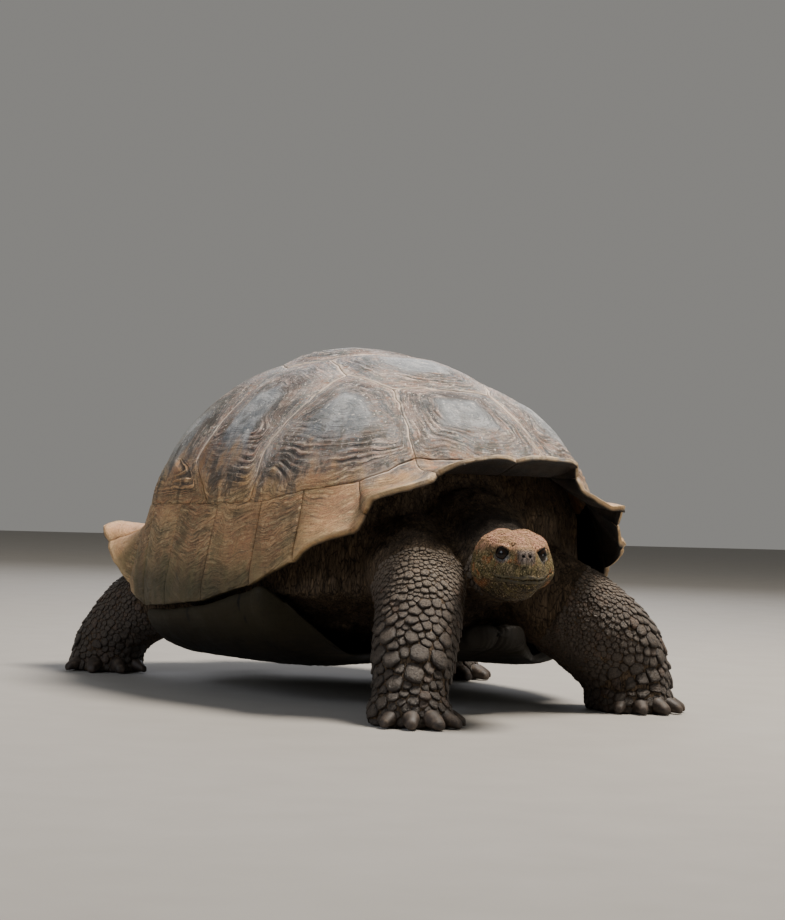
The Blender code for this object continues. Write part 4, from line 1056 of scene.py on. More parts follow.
def buildSkin(material):
    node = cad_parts["trunk"]
    trunk = bpy.data.objects.new("skin", node.data.copy())
    bpy.context.collection.objects.link(trunk)
    with openShape(trunk.data) as shape:
        bmesh.ops.remove_doubles(shape, verts=shape.verts, dist=0.00005)
    parts = [trunk, headMesh()] + [limbMesh(name) for name in limbs]
    bpy.ops.object.select_all(action="DESELECT")
    for part in parts:
        part.select_set(True)
    bpy.context.view_layer.objects.active = trunk
    bpy.ops.object.join()
    applyModifier(trunk, "REMESH", mode="VOXEL", voxel_size=skin["voxel"])
    applyModifier(trunk, "SMOOTH", factor=0.6, iterations=skin["smoothing"])
    # nothing of the body shows inside the dome, so it ends there in a flat
    with openShape(trunk.data) as shape:
        cut = bmesh.ops.bisect_plane(shape, geom=shape.verts[:] + shape.edges[:] + shape.faces[:],
                                     plane_co=Vector((0.0, -0.42 + shift[1], 0.52)),
                                     plane_no=Vector((0.0, 0.31, 0.95)), clear_outer=True)
        cutEdges = [part for part in cut["geom_cut"] if isinstance(part, bmesh.types.BMEdge)]
        bmesh.ops.triangle_fill(shape, use_beauty=True, edges=cutEdges)
        bmesh.ops.recalc_face_normals(shape, faces=shape.faces)
    mesh = trunk.data
    for reach, band in ((-0.200, None), (-0.112, None), (0.0, 0.0045)):
        spots = headPlace(faceMiddles(mesh))
        inside = (np.abs(spots[:, 0]) < 0.095) & (np.abs(spots[:, 2]) < 0.095) & (spots[:, 1] < 0.03)
        if band is None:
            chosen = inside & (spots[:, 1] > reach)
        else:
            chosen = np.abs(spots[:, 2] - mouthLine(spots)) < band
            chosen &= inside & (spots[:, 1] > -head["mouthLength"] - 0.006)
            for side in (1.0, -1.0):
                centre = headPlace((eyePlace(side) + shift)[None])[0]
                atEye = np.linalg.norm(spots - centre, axis=1) < 0.027
                chosen |= inside & atEye & (spots[:, 0] * side > 0.01)
                pit = np.linalg.norm(spots - nostrilPlace(side), axis=1)
                chosen |= inside & (pit < 0.007)
        refine(mesh, chosen)
        spots = headPlace(meshPoints(mesh))
        soften = (spots[:, 1] > reach - 0.01) & (np.abs(spots[:, 2]) < 0.1) & (np.abs(spots[:, 0]) < 0.1)
        soften = soften.astype(float)
        relax(mesh, soften * (spots[:, 1] < 0.03), 3 if band is None else 1)
    shapeSkin(mesh)
    dressPiece(trunk, material, ["trunk", "neck", "tail", "head", "jaw", "leg_front_right",
                                         "leg_front_left", "leg_rear_right", "leg_rear_left"])
    print("skin made,", sum(len(face.vertices) - 2 for face in mesh.polygons), "triangles")
    return trunk


def buildEyes(material):
    for side, label in ((1.0, "left"), (-1.0, "right")):
        centre = eyePlace(side) + shift
        gaze = eyeGaze(side)[0]
        turn = Vector(gaze).to_track_quat("Z", "Y").to_euler()
        bpy.ops.mesh.primitive_uv_sphere_add(segments=64, ring_count=40, radius=head["eyeRadius"] * 0.985,
                                             location=centre, rotation=turn)
        eye = bpy.context.object
        eye.name = "eyeball_" + label
        points = meshPoints(eye.data)
        radius = head["eyeRadius"] * 0.985
        # the clear dome over the iris stands a little proud
        proud = np.exp(-((np.hypot(points[:, 0], points[:, 1]) / (radius * 0.52)) ** 4))
        proud = proud * (points[:, 2] > 0.0)
        points *= (1.0 + 0.045 * proud)[:, None]
        outward = np.hypot(points[:, 0], points[:, 1]) / radius + (points[:, 2] < 0.0)
        eye.data.vertices.foreach_set("co", points.ravel())
        setAttribute(eye.data, "fromPupil", outward)
        bpy.ops.object.transform_apply(location=True, rotation=True)
        dressPiece(eye, material, ["eye_" + label])
    print("eyes made")


def buildClaws(material):
    for name in legNames:
        rings, faces = [], []
        for root, heading, size in clawPlaces(name):
            forward = np.array((math.sin(heading), -math.cos(heading), 0.0))
            across = np.array((forward[1], -forward[0], 0.0))
            sides = 20
            start = len(rings) * sides
            stations = splineThrough(claws["stations"], 4)
            angles = np.linspace(0.0, 2.0 * math.pi, sides, endpoint=False)
            for along, fall, wide, high in stations:
                centre = root + forward * claws["length"] * size * along - headUp * fall
                lift = np.abs(np.sin(angles)) ** 0.85 * np.sign(np.sin(angles))
                lift = lift * claws["halfWidth"] * size * high
                breadth = np.cos(angles) * claws["halfWidth"] * size * wide
                ring = centre + across * breadth[:, None] + headUp * lift[:, None]
                ring[:, 2] = np.maximum(ring[:, 2], 0.0008)
                rings.append(ring)
            faces += ringFaces(sides, len(stations), start)
            faces += [tuple(range(start, start + sides)),
                      tuple(range(start + (len(stations) - 1) * sides, start + len(stations) * sides))]
        points = np.array(rings).reshape(-1, 3)
        chipped = latticeNoise(points, 0.010, 61) * 0.0006
        points = points + unit(points - points.mean(axis=0)) * chipped[:, None]
        points[:, 2] = np.maximum(points[:, 2], 0.0004)
        least, most = cadBox[0][0] - shift[0] + 0.0002, cadBox[1][0] - shift[0] - 0.0002
        points[:, 0] = np.clip(points[:, 0], least, most)
        makePiece("claws_" + name, points + shift, faces, material, [])
    print("claws made")


lowerShell = {
    # stations from front to rear: place, half-width, height, thickness
    "stations": ((-0.5135, 0.010, 0.139, 0.008), (-0.509, 0.027, 0.130, 0.024),
                 (-0.500, 0.043, 0.120, 0.036), (-0.482, 0.057, 0.112, 0.042), (-0.440, 0.092, 0.100, 0.032),
                 (-0.385, 0.146, 0.086, 0.022), (-0.335, 0.188, 0.076, 0.020), (-0.290, 0.222, 0.070, 0.020),
                 (-0.240, 0.240, 0.066, 0.020), (-0.160, 0.240, 0.062, 0.020), (-0.050, 0.240, 0.060, 0.020),
                 (0.050, 0.240, 0.059, 0.020), (0.120, 0.236, 0.058, 0.020), (0.180, 0.205, 0.060, 0.020),
                 (0.240, 0.190, 0.064, 0.020), (0.320, 0.165, 0.076, 0.018), (0.390, 0.120, 0.092, 0.016),
                 (0.430, 0.070, 0.104, 0.014)),
    "bridge": (-0.345, -0.288, 0.145, 0.195), "hollow": 0.014, "drop": 0.006, "across": 26, "curve": 12,
    "sections": 8, "seams": (-0.468, -0.350, -0.200, 0.040, 0.190, 0.350), "groove": 0.0020,
    "knobs": ((-0.024, 0.0060), (0.024, 0.0045)),
}


def buildPlastron(material):
    rows = splineThrough(lowerShell["stations"], lowerShell["sections"])
    stations = np.linspace(3.5, 8.5, 60)
    stationY = [rimPoint(station)[1] for station in stations]
    start, full, ending, gone = lowerShell["bridge"]
    rings = []
    for y, half, height, thickness in rows:
        bridged = float(smoothStep(y, start, full) * smoothStep(y, gone, ending))
        edge = rimPoint(np.interp(y, stationY, stations)) - np.array((0.004, 0.0, lowerShell["drop"]))
        x = half * np.linspace(0.0, 1.0, lowerShell["across"])
        hollow = lowerShell["hollow"] * np.maximum(0.0, 1.0 - (x / 0.19) ** 2)
        hollow = hollow * max(0.0, 1.0 - (y / 0.42) ** 2)
        turn = np.linspace(0.0, math.pi / 2.0, lowerShell["curve"] + 1)[1:]
        reach = bridged * (edge[0] - half) + (1.0 - bridged) * min(0.018, thickness * 0.45)
        rise = bridged * (edge[2] - height) + (1.0 - bridged) * thickness * 0.45
        outer = np.stack((np.concatenate((x, half + reach * np.sin(turn))),
                          np.concatenate((height + hollow, height + rise * (1.0 - np.cos(turn))))), axis=1)
        inX = half + (reach - thickness * bridged) * np.sin(turn)
        inZ = height + thickness + (rise - thickness * (1.0 - 0.1 * bridged)) * (1.0 - np.cos(turn))
        above = np.concatenate((height + hollow + thickness, inZ))
        inner = np.stack((np.concatenate((x, inX)), above), axis=1)
        half2 = np.vstack((outer, inner[::-1]))
        loop = np.vstack((half2, (half2 * np.array((-1.0, 1.0)))[::-1][1:-1]))
        rings.append(np.column_stack((loop[:, 0], np.full(len(loop), y), loop[:, 1])))
    piece = loopMesh("lowerShell", rings)
    for _ in range(2):
        relax(piece.data, np.ones(len(piece.data.vertices)), 1)
    points, normals = meshPoints(piece.data), meshNormals(piece.data)
    local = points - shift
    bend = 0.030 * (np.abs(local[:, 0]) / 0.2) ** 2
    seams = hill(local[:, 0], 0.0030)
    nearest = np.abs(local[:, 0])
    for place in lowerShell["seams"]:
        across = local[:, 1] - place - bend
        seams = np.maximum(seams, hill(across, 0.0030))
        nearest = np.minimum(nearest, np.abs(across))
    warp = latticeNoise(points, 0.04, 74) * 0.004
    ringed = np.cos((nearest + warp) / 0.0085 * 2.0 * math.pi) * 0.0005
    move = ringed - seams * lowerShell["groove"] + latticeNoise(points, 0.09, 71) * 0.0018
    move += latticeNoise(points, 0.022, 72) * 0.0008
    # the foremost shields stand out as two blunt knobs with a notch between them
    for across, rise in lowerShell["knobs"]:
        move += rise * lump(local, (across, -0.500, 0.140), (0.016, 0.020, 0.030))
    move -= 0.0045 * lump(local[:, [0, 1]], (0.002, -0.515), (0.009, 0.030))
    points = points + normals * (move - 0.0012)[:, None]
    piece.data.vertices.foreach_set("co", points.ravel())
    setAttribute(piece.data, "groove", seams)
    dressPiece(piece, material, ["plastron"])
    print("lower shell made,", sum(len(face.vertices) - 2 for face in piece.data.polygons), "triangles")


def buildBeak(hide, materials):
    # the horny edges of both jaws, a thin sheath over the skin
    for name, low, high in (("beakUpper", 0.0010, 0.0056), ("beakLower", -0.0070, -0.0010)):
        piece = bpy.data.objects.new(name, hide.data.copy())
        bpy.context.collection.objects.link(piece)
        spots = headPlace(faceMiddles(piece.data))
        above = spots[:, 2] - mouthLine(spots)
        bridge = 0.004 * hill(np.abs(spots[:, 0]), 0.0100) if high > 0.0 else 0.0
        keep = (above > low) & (above < high + bridge) & (spots[:, 1] > -0.050) & (spots[:, 1] < 0.02)
        keep &= (np.abs(spots[:, 0]) < 0.05) & (np.abs(spots[:, 2]) < 0.06)
        with openShape(piece.data) as shape:
            shape.faces.ensure_lookup_table()
            bmesh.ops.delete(shape, geom=[shape.faces[int(i)] for i in np.nonzero(~keep)[0]], context="FACES")
            border = [vert for vert in shape.verts if vert.is_boundary]
            for vert in border:
                vert.co -= vert.normal * 0.0014
            for _ in range(3):
                bmesh.ops.smooth_vert(shape, verts=border, factor=0.5, use_axis_x=True, use_axis_y=True,
                                      use_axis_z=True)
        applyModifier(piece, "SOLIDIFY", thickness=0.0011, offset=0.0)
        dressPiece(piece, materials[name], [])
    print("beak made")


scaleSets = {
    # sizes across a scale in metres at shares of the way down the limb; rise is its height over its size
    "legFrontRight": {
        "from": 0.30, "stops": (0.30, 0.42, 0.52, 0.66, 0.78, 0.86, 1.0),
        "sizes": (0.0080, 0.013, 0.021, 0.028, 0.023, 0.019, 0.017), "rise": 0.17, "back": 0.55, "seed": 11},
    "legFrontLeft": {
        "from": 0.30, "stops": (0.30, 0.42, 0.55, 0.70, 0.80, 1.0),
        "sizes": (0.0072, 0.010, 0.018, 0.028, 0.026, 0.017), "rise": 0.17, "back": 0.55, "seed": 12},
    "legRearRight": {
        "from": 0.36, "stops": (0.36, 0.5, 0.7, 0.85, 1.0),
        "sizes": (0.009, 0.012, 0.018, 0.018, 0.014), "rise": 0.16, "back": 0.60, "seed": 13},
    "legRearLeft": {
        "from": 0.36, "stops": (0.36, 0.5, 0.7, 0.85, 1.0),
        "sizes": (0.009, 0.012, 0.018, 0.018, 0.014), "rise": 0.16, "back": 0.60, "seed": 14},
    "head": {
        "from": 0.0, "stops": (-0.19, -0.13, -0.07, -0.03, 0.0),
        "sizes": (0.0075, 0.0085, 0.0078, 0.0055, 0.0046), "rise": 0.085, "back": 0.7, "seed": 15},
}
legOutward = {"legFrontRight": (-0.55, -0.80, 0.0), "legFrontLeft": (0.55, -0.80, 0.0),
              "legRearRight": (-0.85, -0.30, 0.0), "legRearLeft": (0.85, -0.30, 0.0)}


def scaleField(name, points, normals):
    # the size of a scale at each place, nought where there are none, and the unwrapped place
    lot = scaleSets[name]
    if name == "head":
        spots = headPlace(points)
        size = np.interp(spots[:, 1], lot["stops"], lot["sizes"])
        size *= 1.0 - 0.35 * smoothStep(spots[:, 2], 0.020, -0.020)
        aside = np.abs(spots[:, 0])
        size *= 1.0 + 0.30 * smoothStep(spots[:, 2], 0.040, 0.055) * smoothStep(aside, 0.05, 0.02)
        keep = (spots[:, 1] > -0.165) & (aside < 0.1) & (np.abs(spots[:, 2]) < 0.1) & (spots[:, 1] < 0.02)
        beak = (spots[:, 1] > -0.050) & (np.abs(spots[:, 2] - mouthLine(spots)) < 0.0066)
        keep &= ~beak & (np.abs(spots[:, 2] - mouthLine(spots)) > 0.0038)
        keep &= ~((aside < 0.014) & (spots[:, 2] < 0.032) & (spots[:, 2] > -0.03) & (spots[:, 1] > -0.035))
        for side in (1.0, -1.0):
            offset = points - eyePlace(side) - shift
            gaze, level, upright = eyeGaze(side)
            direction = unit(offset)
            almond = almondOf(direction @ level, direction @ upright)
            keep &= ~((almond < 1.6) & (np.linalg.norm(offset, axis=1) < 0.026) & (direction @ gaze > 0.1))
            size = np.where(np.linalg.norm(offset, axis=1) < 0.032, np.minimum(size, 0.0042), size)
        around = np.arctan2(spots[:, 2], spots[:, 0]) / (2.0 * math.pi) + 0.5
        return np.where(keep, size, 0.0), around, np.clip(-spots[:, 1] / 0.19, 0.0, 1.0)
    down, turn, reach = nearLimb(name, points)
    size = np.interp(down, lot["stops"], lot["sizes"])
    facing = normals @ unit(np.array(legOutward[name]))
    size *= lot["back"] + (1.0 - lot["back"]) * smoothStep(facing, -0.5, 0.7)
    size *= 1.0 + 0.18 * latticeNoise(points, 0.05, lot["seed"])
    keep = (down > lot["from"]) & (reach < 1.35) & (points[:, 2] > 0.004) & (normals[:, 2] > -0.75)
    for root, heading, claw in clawPlaces(name):
        forward = np.array((math.sin(heading), -math.cos(heading), 0.0))
        keep &= np.linalg.norm(points - shift - root - forward * 0.014, axis=1) > 0.0140 * claw
    return np.where(keep, size, 0.0), turn / (2.0 * math.pi) + 0.5, down


def scatterScales(name, tree, corners, areas):
    # seeds spread over the skin, each with as much room as its size asks for
    random = np.random.default_rng(scaleSets[name]["seed"])
    tries = 26000
    picked = random.choice(len(areas), tries, p=areas / areas.sum())
    a, b = random.random((2, tries, 1))
    flip = a + b > 1.0
    a, b = np.where(flip, 1.0 - a, a), np.where(flip, 1.0 - b, b)
    first, second, third = corners[picked, 0], corners[picked, 1], corners[picked, 2]
    points = first + (second - first) * a + (third - first) * b
    normals = unit(np.cross(second - first, third - first))
    size = scaleField(name, points, normals)[0]
    size *= random.uniform(0.55, 1.40, tries)
    points, normals, size = points[size > 0.0], normals[size > 0.0], size[size > 0.0]
    kept = np.zeros(len(points), dtype=bool)
    seeds, reaches = np.empty((0, 3)), np.empty(0)
    for i in range(len(points)):
        if len(seeds):
            gaps = np.sum((seeds - points[i]) ** 2, axis=1)
            if np.any(gaps < (0.42 * (reaches + size[i])) ** 2):
                continue
        seeds = np.vstack((seeds, points[i]))
        reaches = np.append(reaches, size[i])
        kept[i] = True
    points, size = points[kept], size[kept]
    for _ in range(5):
        apart = points[:, None] - points[None]
        gaps = np.linalg.norm(apart, axis=2)
        np.fill_diagonal(gaps, 9.0)
        room = 0.56 * (size[:, None] + size[None])
        push = np.clip(1.0 - gaps / room, 0.0, 1.0)
        points = points + np.einsum("ij,ijk->ik", push / gaps, apart) * size[:, None] * 0.30
        points = np.array([tree.find_nearest(Vector(point))[0] for point in points])
    normals = np.array([tree.find_nearest(Vector(point))[1] for point in points])
    keep = scaleField(name, points, normals)[0] > 0.0
    return points[keep], normals[keep], size[keep]


def buildScales(name, hide, material):
    # each scale is a domed plate with the outline that its neighbours leave it
    mesh = hide.data
    mesh.calc_loop_triangles()
    triangles = np.empty(len(mesh.loop_triangles) * 3, dtype=np.int64)
    mesh.loop_triangles.foreach_get("vertices", triangles)
    vertices = meshPoints(mesh)
    corners = vertices[triangles.reshape(-1, 3)]
    middles = corners.mean(axis=1)
    faceNormals = np.cross(corners[:, 1] - corners[:, 0], corners[:, 2] - corners[:, 0])
    areas = np.linalg.norm(faceNormals, axis=1) * 0.5
    here = scaleField(name, middles, unit(faceNormals))[0] > 0.0
    corners, areas = corners[here], areas[here]
    sizes = scaleField(name, middles[here], unit(faceNormals[here]))[0]
    tree = BVHTree.FromPolygons(vertices.tolist(), triangles.reshape(-1, 3).tolist())
    lot = scaleSets[name]
    points, normals, size = scatterScales(name, tree, corners, areas / sizes ** 2)
    random = np.random.default_rng(lot["seed"] + 100)
    count = len(points)
    # the lie of the scale: its free end points down the limb, or back over the head
    lie = np.tile(-headAhead, (count, 1)) if name == "head" else np.tile((0.0, 0.0, -1.0), (count, 1))
    lie = unit(lie - normals * np.sum(lie * normals, axis=1)[:, None] + 1e-6)
    side = np.cross(normals, lie)
    sides = 12
    angles = np.linspace(0.0, 2.0 * math.pi, sides, endpoint=False)
    apart = points[None] - points[:, None]
    gaps = np.linalg.norm(apart, axis=2)
    np.fill_diagonal(gaps, 9.0)
    near = np.argsort(gaps, axis=1)[:, :14]
    offset = np.take_along_axis(apart, near[:, :, None], axis=1)
    ahead = np.einsum("ijk,ik->ij", offset, lie)
    sideways = np.einsum("ijk,ik->ij", offset, side)
    flat = np.hypot(ahead, sideways)
    split = flat * size[:, None] / (size[:, None] + size[near])
    toward = (ahead[:, :, None] * np.cos(angles) + sideways[:, :, None] * np.sin(angles)) / flat[:, :, None]
    inverse = np.where(toward > 0.0, toward / split[:, :, None], 0.0)
    radius = np.sum(inverse ** 34, axis=1) ** (-1.0 / 34.0)
    radius = np.minimum(radius, size[:, None] * 0.72)
    gap = np.clip(size * 0.018, 0.00016, 0.00036)
    radius = np.maximum(radius - gap[:, None], size[:, None] * 0.20)
    # scales with an edge that leans over the next one are drawn out a little down the limb
    lean = 0.0 if name == "head" else 0.24
    rise = size * lot["rise"] * random.uniform(0.75, 1.2, count)
    tiers = ((0.50, 1.00), (0.87, 0.93), (0.975, 0.62), (1.0, -0.25))
    rings = []
    for share, lift in tiers:
        across = radius * share
        place = (points[:, None] + lie[:, None] * (across * np.cos(angles))[:, :, None]
                 + side[:, None] * (across * np.sin(angles))[:, :, None])
        tilt = 1.0 + lean * 3.0 * share * np.cos(angles)[None] * (lift > 0.0)
        rings.append((place, rise[:, None] * lift * tilt))
    flatPoints = np.concatenate([place for place, _ in rings], axis=1)
    lifts = np.concatenate([lift for _, lift in rings], axis=1)
    landed = np.empty_like(flatPoints)
    turned = np.empty_like(flatPoints)
    for i in range(count):
        for j in range(flatPoints.shape[1]):
            spot, normal, _, _ = tree.find_nearest(Vector(flatPoints[i, j]), 0.03)
            landed[i, j] = flatPoints[i, j] if spot is None else spot
            turned[i, j] = normals[i] if normal is None else normal
    turned = unit(turned * 0.6 + normals[:, None] * 0.4)
    rough = latticeNoise(landed.reshape(-1, 3), 0.005, 81).reshape(count, -1)
    body = landed + turned * (lifts + rough * rise[:, None] * 0.20 * (lifts > 0.0))[:, :, None]
    top = points + normals * (rise * 1.02)[:, None]
    everything = np.concatenate((top[:, None], body), axis=1)
    everything[:, :, 2] = np.maximum(everything[:, :, 2], 0.0004)
    everything[:, :, 0] = np.clip(everything[:, :, 0], cadBox[0][0] + 0.0002, cadBox[1][0] - 0.0002)
    each = everything.shape[1]
    one = [(0, 1 + (k + 1) % sides, 1 + k) for k in range(sides)]
    for tier in range(len(tiers) - 1):
        first = 1 + tier * sides
        one += [(first + k, first + (k + 1) % sides, first + sides + (k + 1) % sides, first + sides + k)
                for k in range(sides)]
    one.append(tuple(1 + (len(tiers) - 1) * sides + k for k in range(sides)))
    faces = [tuple(i * each + v for v in face) for i in range(count) for face in one]
    crest = np.concatenate(([1.0], np.repeat([1.0, 0.8, 0.35, 0.0], sides)))
    attributes = {"tone": np.repeat(random.random(count), each), "crest": np.tile(crest, count)}
    piece = makePiece("scales_" + name, everything.reshape(-1, 3), faces, material, [], attributes)
    # each scale is baked from its own small patch, at its root's place on the unrolled limb
    _, u, v = scaleField(name, points, normals)
    patch = np.concatenate((np.zeros((1, 2)), np.concatenate(
        [np.stack((np.cos(angles), np.sin(angles)), axis=1) * share * 0.0015 for share, _ in tiers])))
    places = np.stack((0.01 + u * 0.98, 0.01 + v * 0.98), axis=1)[:, None] + patch[None]
    loops = np.empty(len(piece.data.loops), dtype=np.int64)
    piece.data.loops.foreach_get("vertex_index", loops)
    layer = piece.data.uv_layers.new(name="OFBake")
    layer.data.foreach_set("uv", places.reshape(-1, 2)[loops].ravel())
    triangles = sum(len(face.vertices) - 2 for face in piece.data.polygons)
    print("scales of", name, count, "with", triangles, "triangles")
    return piece


# jaw, throat, socket and nape are painted shade: under the mouth, beneath the head, round the eyes and in the
# nostrils, and on the neck under the shell
skinColours = {
    "limbDark": "#241B15", "limb": "#3C3128", "faceDark": "#4A4429", "face": "#86784C", "orange": "#A8683C",
    "crown": "#B9906B", "crownPink": "#C9957A", "spot": "#2E2417", "pad": "#564C48", "padPale": "#84776F",
    "lip": "#625944", "socket": "#121314", "lid": "#656C74", "jaw": "#17140A", "throat": "#130E0A",
    "nape": "#2A2119", "ridge": "#6B6449", "fleck": "#BFA782", "speck": "#1F180F", "jawOlive": "#5E552F",
}


def hideTint(add, place):
    # the markings that skin and scales share: warm grey brown limbs, a tan crown and an olive face, with
    # painted shade under the mouth and head, round the eyes, in the nostrils and on the neck behind the head
    noise = {}
    for key, size, detail, roughness in (
            ("cloud", 0.09, 4.0, 0.55), ("blotch", 0.018, 5.0, 0.6), ("patch", 0.017, 4.0, 0.55),
            ("wash", 0.022, 2.0, 0.5), ("spot", 0.0045, 3.0, 0.6), ("fleck", 0.0030, 4.0, 0.6),
            ("green", 0.014, 4.0, 0.6)):
        noise[key] = add("TexNoise", {"Vector": place, "Scale": 1.0 / size, "Detail": detail,
                                      "Roughness": roughness})
    # the mapping turns the head's own axes onto X, ahead on -Y, with its tip at nought
    tip = np.array(head["tip"]) + shift
    turn = math.radians(head["yaw"])
    aside, ahead = math.cos(turn), math.sin(turn)
    tipTurned = (tip[0] * aside - tip[1] * ahead, tip[0] * ahead + tip[1] * aside, tip[2])
    spot = add("Mapping", {"Vector": place, "Rotation": (0.0, 0.0, turn),
                           "Location": tuple(-c for c in tipTurned)}, vector_type="POINT")
    x, y, z = add("SeparateXYZ", {0: spot}).node.outputs
    beside = add("Math", {0: x}, operation="ABSOLUTE")
    wave = add("Math", {0: noise["blotch"], 1: 0.030, 2: -0.015}, operation="MULTIPLY_ADD")
    wavy = add("Math", {0: z, 1: wave}, operation="ADD")
    cover = {}
    for key, source, start, end, most in (
            # each cover grows from nought at start to its most at end, which may be another cover
            ("cloudy", noise["cloud"], 0.35, 0.65, 1.0), ("blotched", noise["blotch"], 0.38, 0.62, 1.0),
            ("patchy", noise["patch"], 0.54, 0.64, 0.75), ("washed", noise["wash"], 0.40, 0.60, 1.0),
            ("crown", wavy, 0.022, 0.042, 1.0), ("spotted", noise["spot"], 0.56, 0.66, 0.70),
            ("middle", beside, 0.0175, 0.0125, 0.92), ("front", y, 0.036, 0.022, "middle"),
            ("nose", z, 0.036, 0.029, "front"), ("pad", z, 0.005, 0.016, "nose"),
            ("ridged", beside, 0.0125, 0.0085, 0.80), ("ridge", y, 0.030, 0.018, "ridged"),
            ("flecked", noise["fleck"], 0.55, 0.62, 0.70), ("specked", noise["fleck"], 0.44, 0.38, 0.80),
            ("greened", noise["green"], 0.48, 0.60, 0.85), ("jawed", wavy, -0.018, -0.026, "greened"),
            ("outer", beside, 0.015, 0.020, 0.65), ("lips", beside, 0.044, 0.036, "outer"),
            ("lipLow", wavy, -0.016, -0.008, "lips"), ("lip", wavy, 0.014, 0.004, "lipLow"),
            # painted shade: jaw darkens the chin below the mouth, and throat the underside of the head
            ("jaw", wavy, -0.010, -0.022, 0.95), ("wide", beside, 0.044, 0.056, 0.60),
            ("rimmed", z, -0.060, -0.045, "wide"), ("glow", wavy, -0.016, -0.026, "rimmed"),
            ("throat", z, -0.040, -0.056, 0.9), ("ahead", y, 0.190, 0.165, 1.0),
            ("narrow", beside, 0.086, 0.078, "ahead"), ("roof", z, 0.095, 0.085, "narrow"),
            # painted shade of the shell on the neck: behind, near and nape mark the neck behind the head;
            # back, close, above and collar mark the top of it
            ("onHead", z, -0.095, -0.085, "roof"), ("behind", y, 0.128, 0.156, 0.9),
            ("near", y, 0.330, 0.250, "behind"), ("nape", beside, 0.16, 0.10, "near"),
            ("back", y, 0.120, 0.150, 0.80), ("close", y, 0.300, 0.240, "back"),
            ("above", z, 0.030, 0.050, "close"), ("collar", beside, 0.090, 0.060, "above")):
        most = cover[most] if isinstance(most, str) else most
        cover[key] = add("MapRange", {0: source, 1: start, 2: end, 4: most}, interpolation_type="SMOOTHSTEP")
    tint = dict(skinColours)
    for key, first, second, share in (
            ("limbs", "limbDark", "limb", "cloudy"), ("faces", "faceDark", "face", "blotched"),
            ("crowns", "crown", "crownPink", "washed"), ("pads", "pad", "padPale", "blotched")):
        tint[key] = add("Mix", {0: cover[share], 6: tint[first], 7: tint[second]}, 2, data_type="RGBA")
    colour = tint["faces"]
    edges = add("TexVoronoi", {"Vector": place, "Scale": 170.0}, feature="DISTANCE_TO_EDGE")
    cover["cracked"] = add("MapRange", {0: edges, 1: 0.07, 2: 0.01, 4: 0.55})
    layers = [
        ("patchy", "orange"), ("ridge", "ridge"), ("crown", "crowns"), ("lip", "lip"), ("spotted", "spot"),
        ("jaw", "jaw"), ("jawed", "jawOlive"), ("glow", "orange"), ("throat", "throat"), ("flecked", "fleck"),
        ("specked", "speck"), ("cracked", "speck"), ("pad", "pads")]
    # painted shade round the eyes, strongest above them under the brows, with a paler lower lid, and painted
    # shade in the pits of the nostrils
    oval = add("VectorMath", {0: spot, 1: (1.0, 0.6, 1.3)}, operation="MULTIPLY")
    for side in (1.0, -1.0):
        for key, source, middle, size, edge, tone, most in (
                ("lid", oval, (side * 0.038, 0.036, 0.0205), 0.0165, 0.0060, "lid", 0.65),
                ("socket", oval, (side * 0.038, 0.036, 0.0300), 0.0138, 0.0045, "socket", 0.94),
                ("nostril", spot, (side * 0.0058, 0.0055, 0.0225), 0.0036, 0.0012, "socket", 0.97)):
            if source == oval:
                middle = (middle[0], middle[1] * 0.6, middle[2] * 1.3)
            gap = add("VectorMath", {0: source, 1: middle}, output="Value", operation="DISTANCE")
            cover[key + str(side)] = add("MapRange", {0: gap, 1: size, 2: size - edge, 4: most})
            layers.append((key + str(side), tone))
    for key, tone in layers:
        colour = add("Mix", {0: cover[key], 6: colour, 7: tint[tone]}, 2, data_type="RGBA")
    colour = add("Mix", {0: cover["onHead"], 6: tint["limbs"], 7: colour}, 2, data_type="RGBA")
    # painted shade: the neck behind the head takes an even, dark nape brown
    colour = add("Mix", {0: cover["nape"], 6: colour, 7: tint["nape"]}, 2, data_type="RGBA")
    return colour, noise["blotch"], cover["onHead"], cover["collar"]


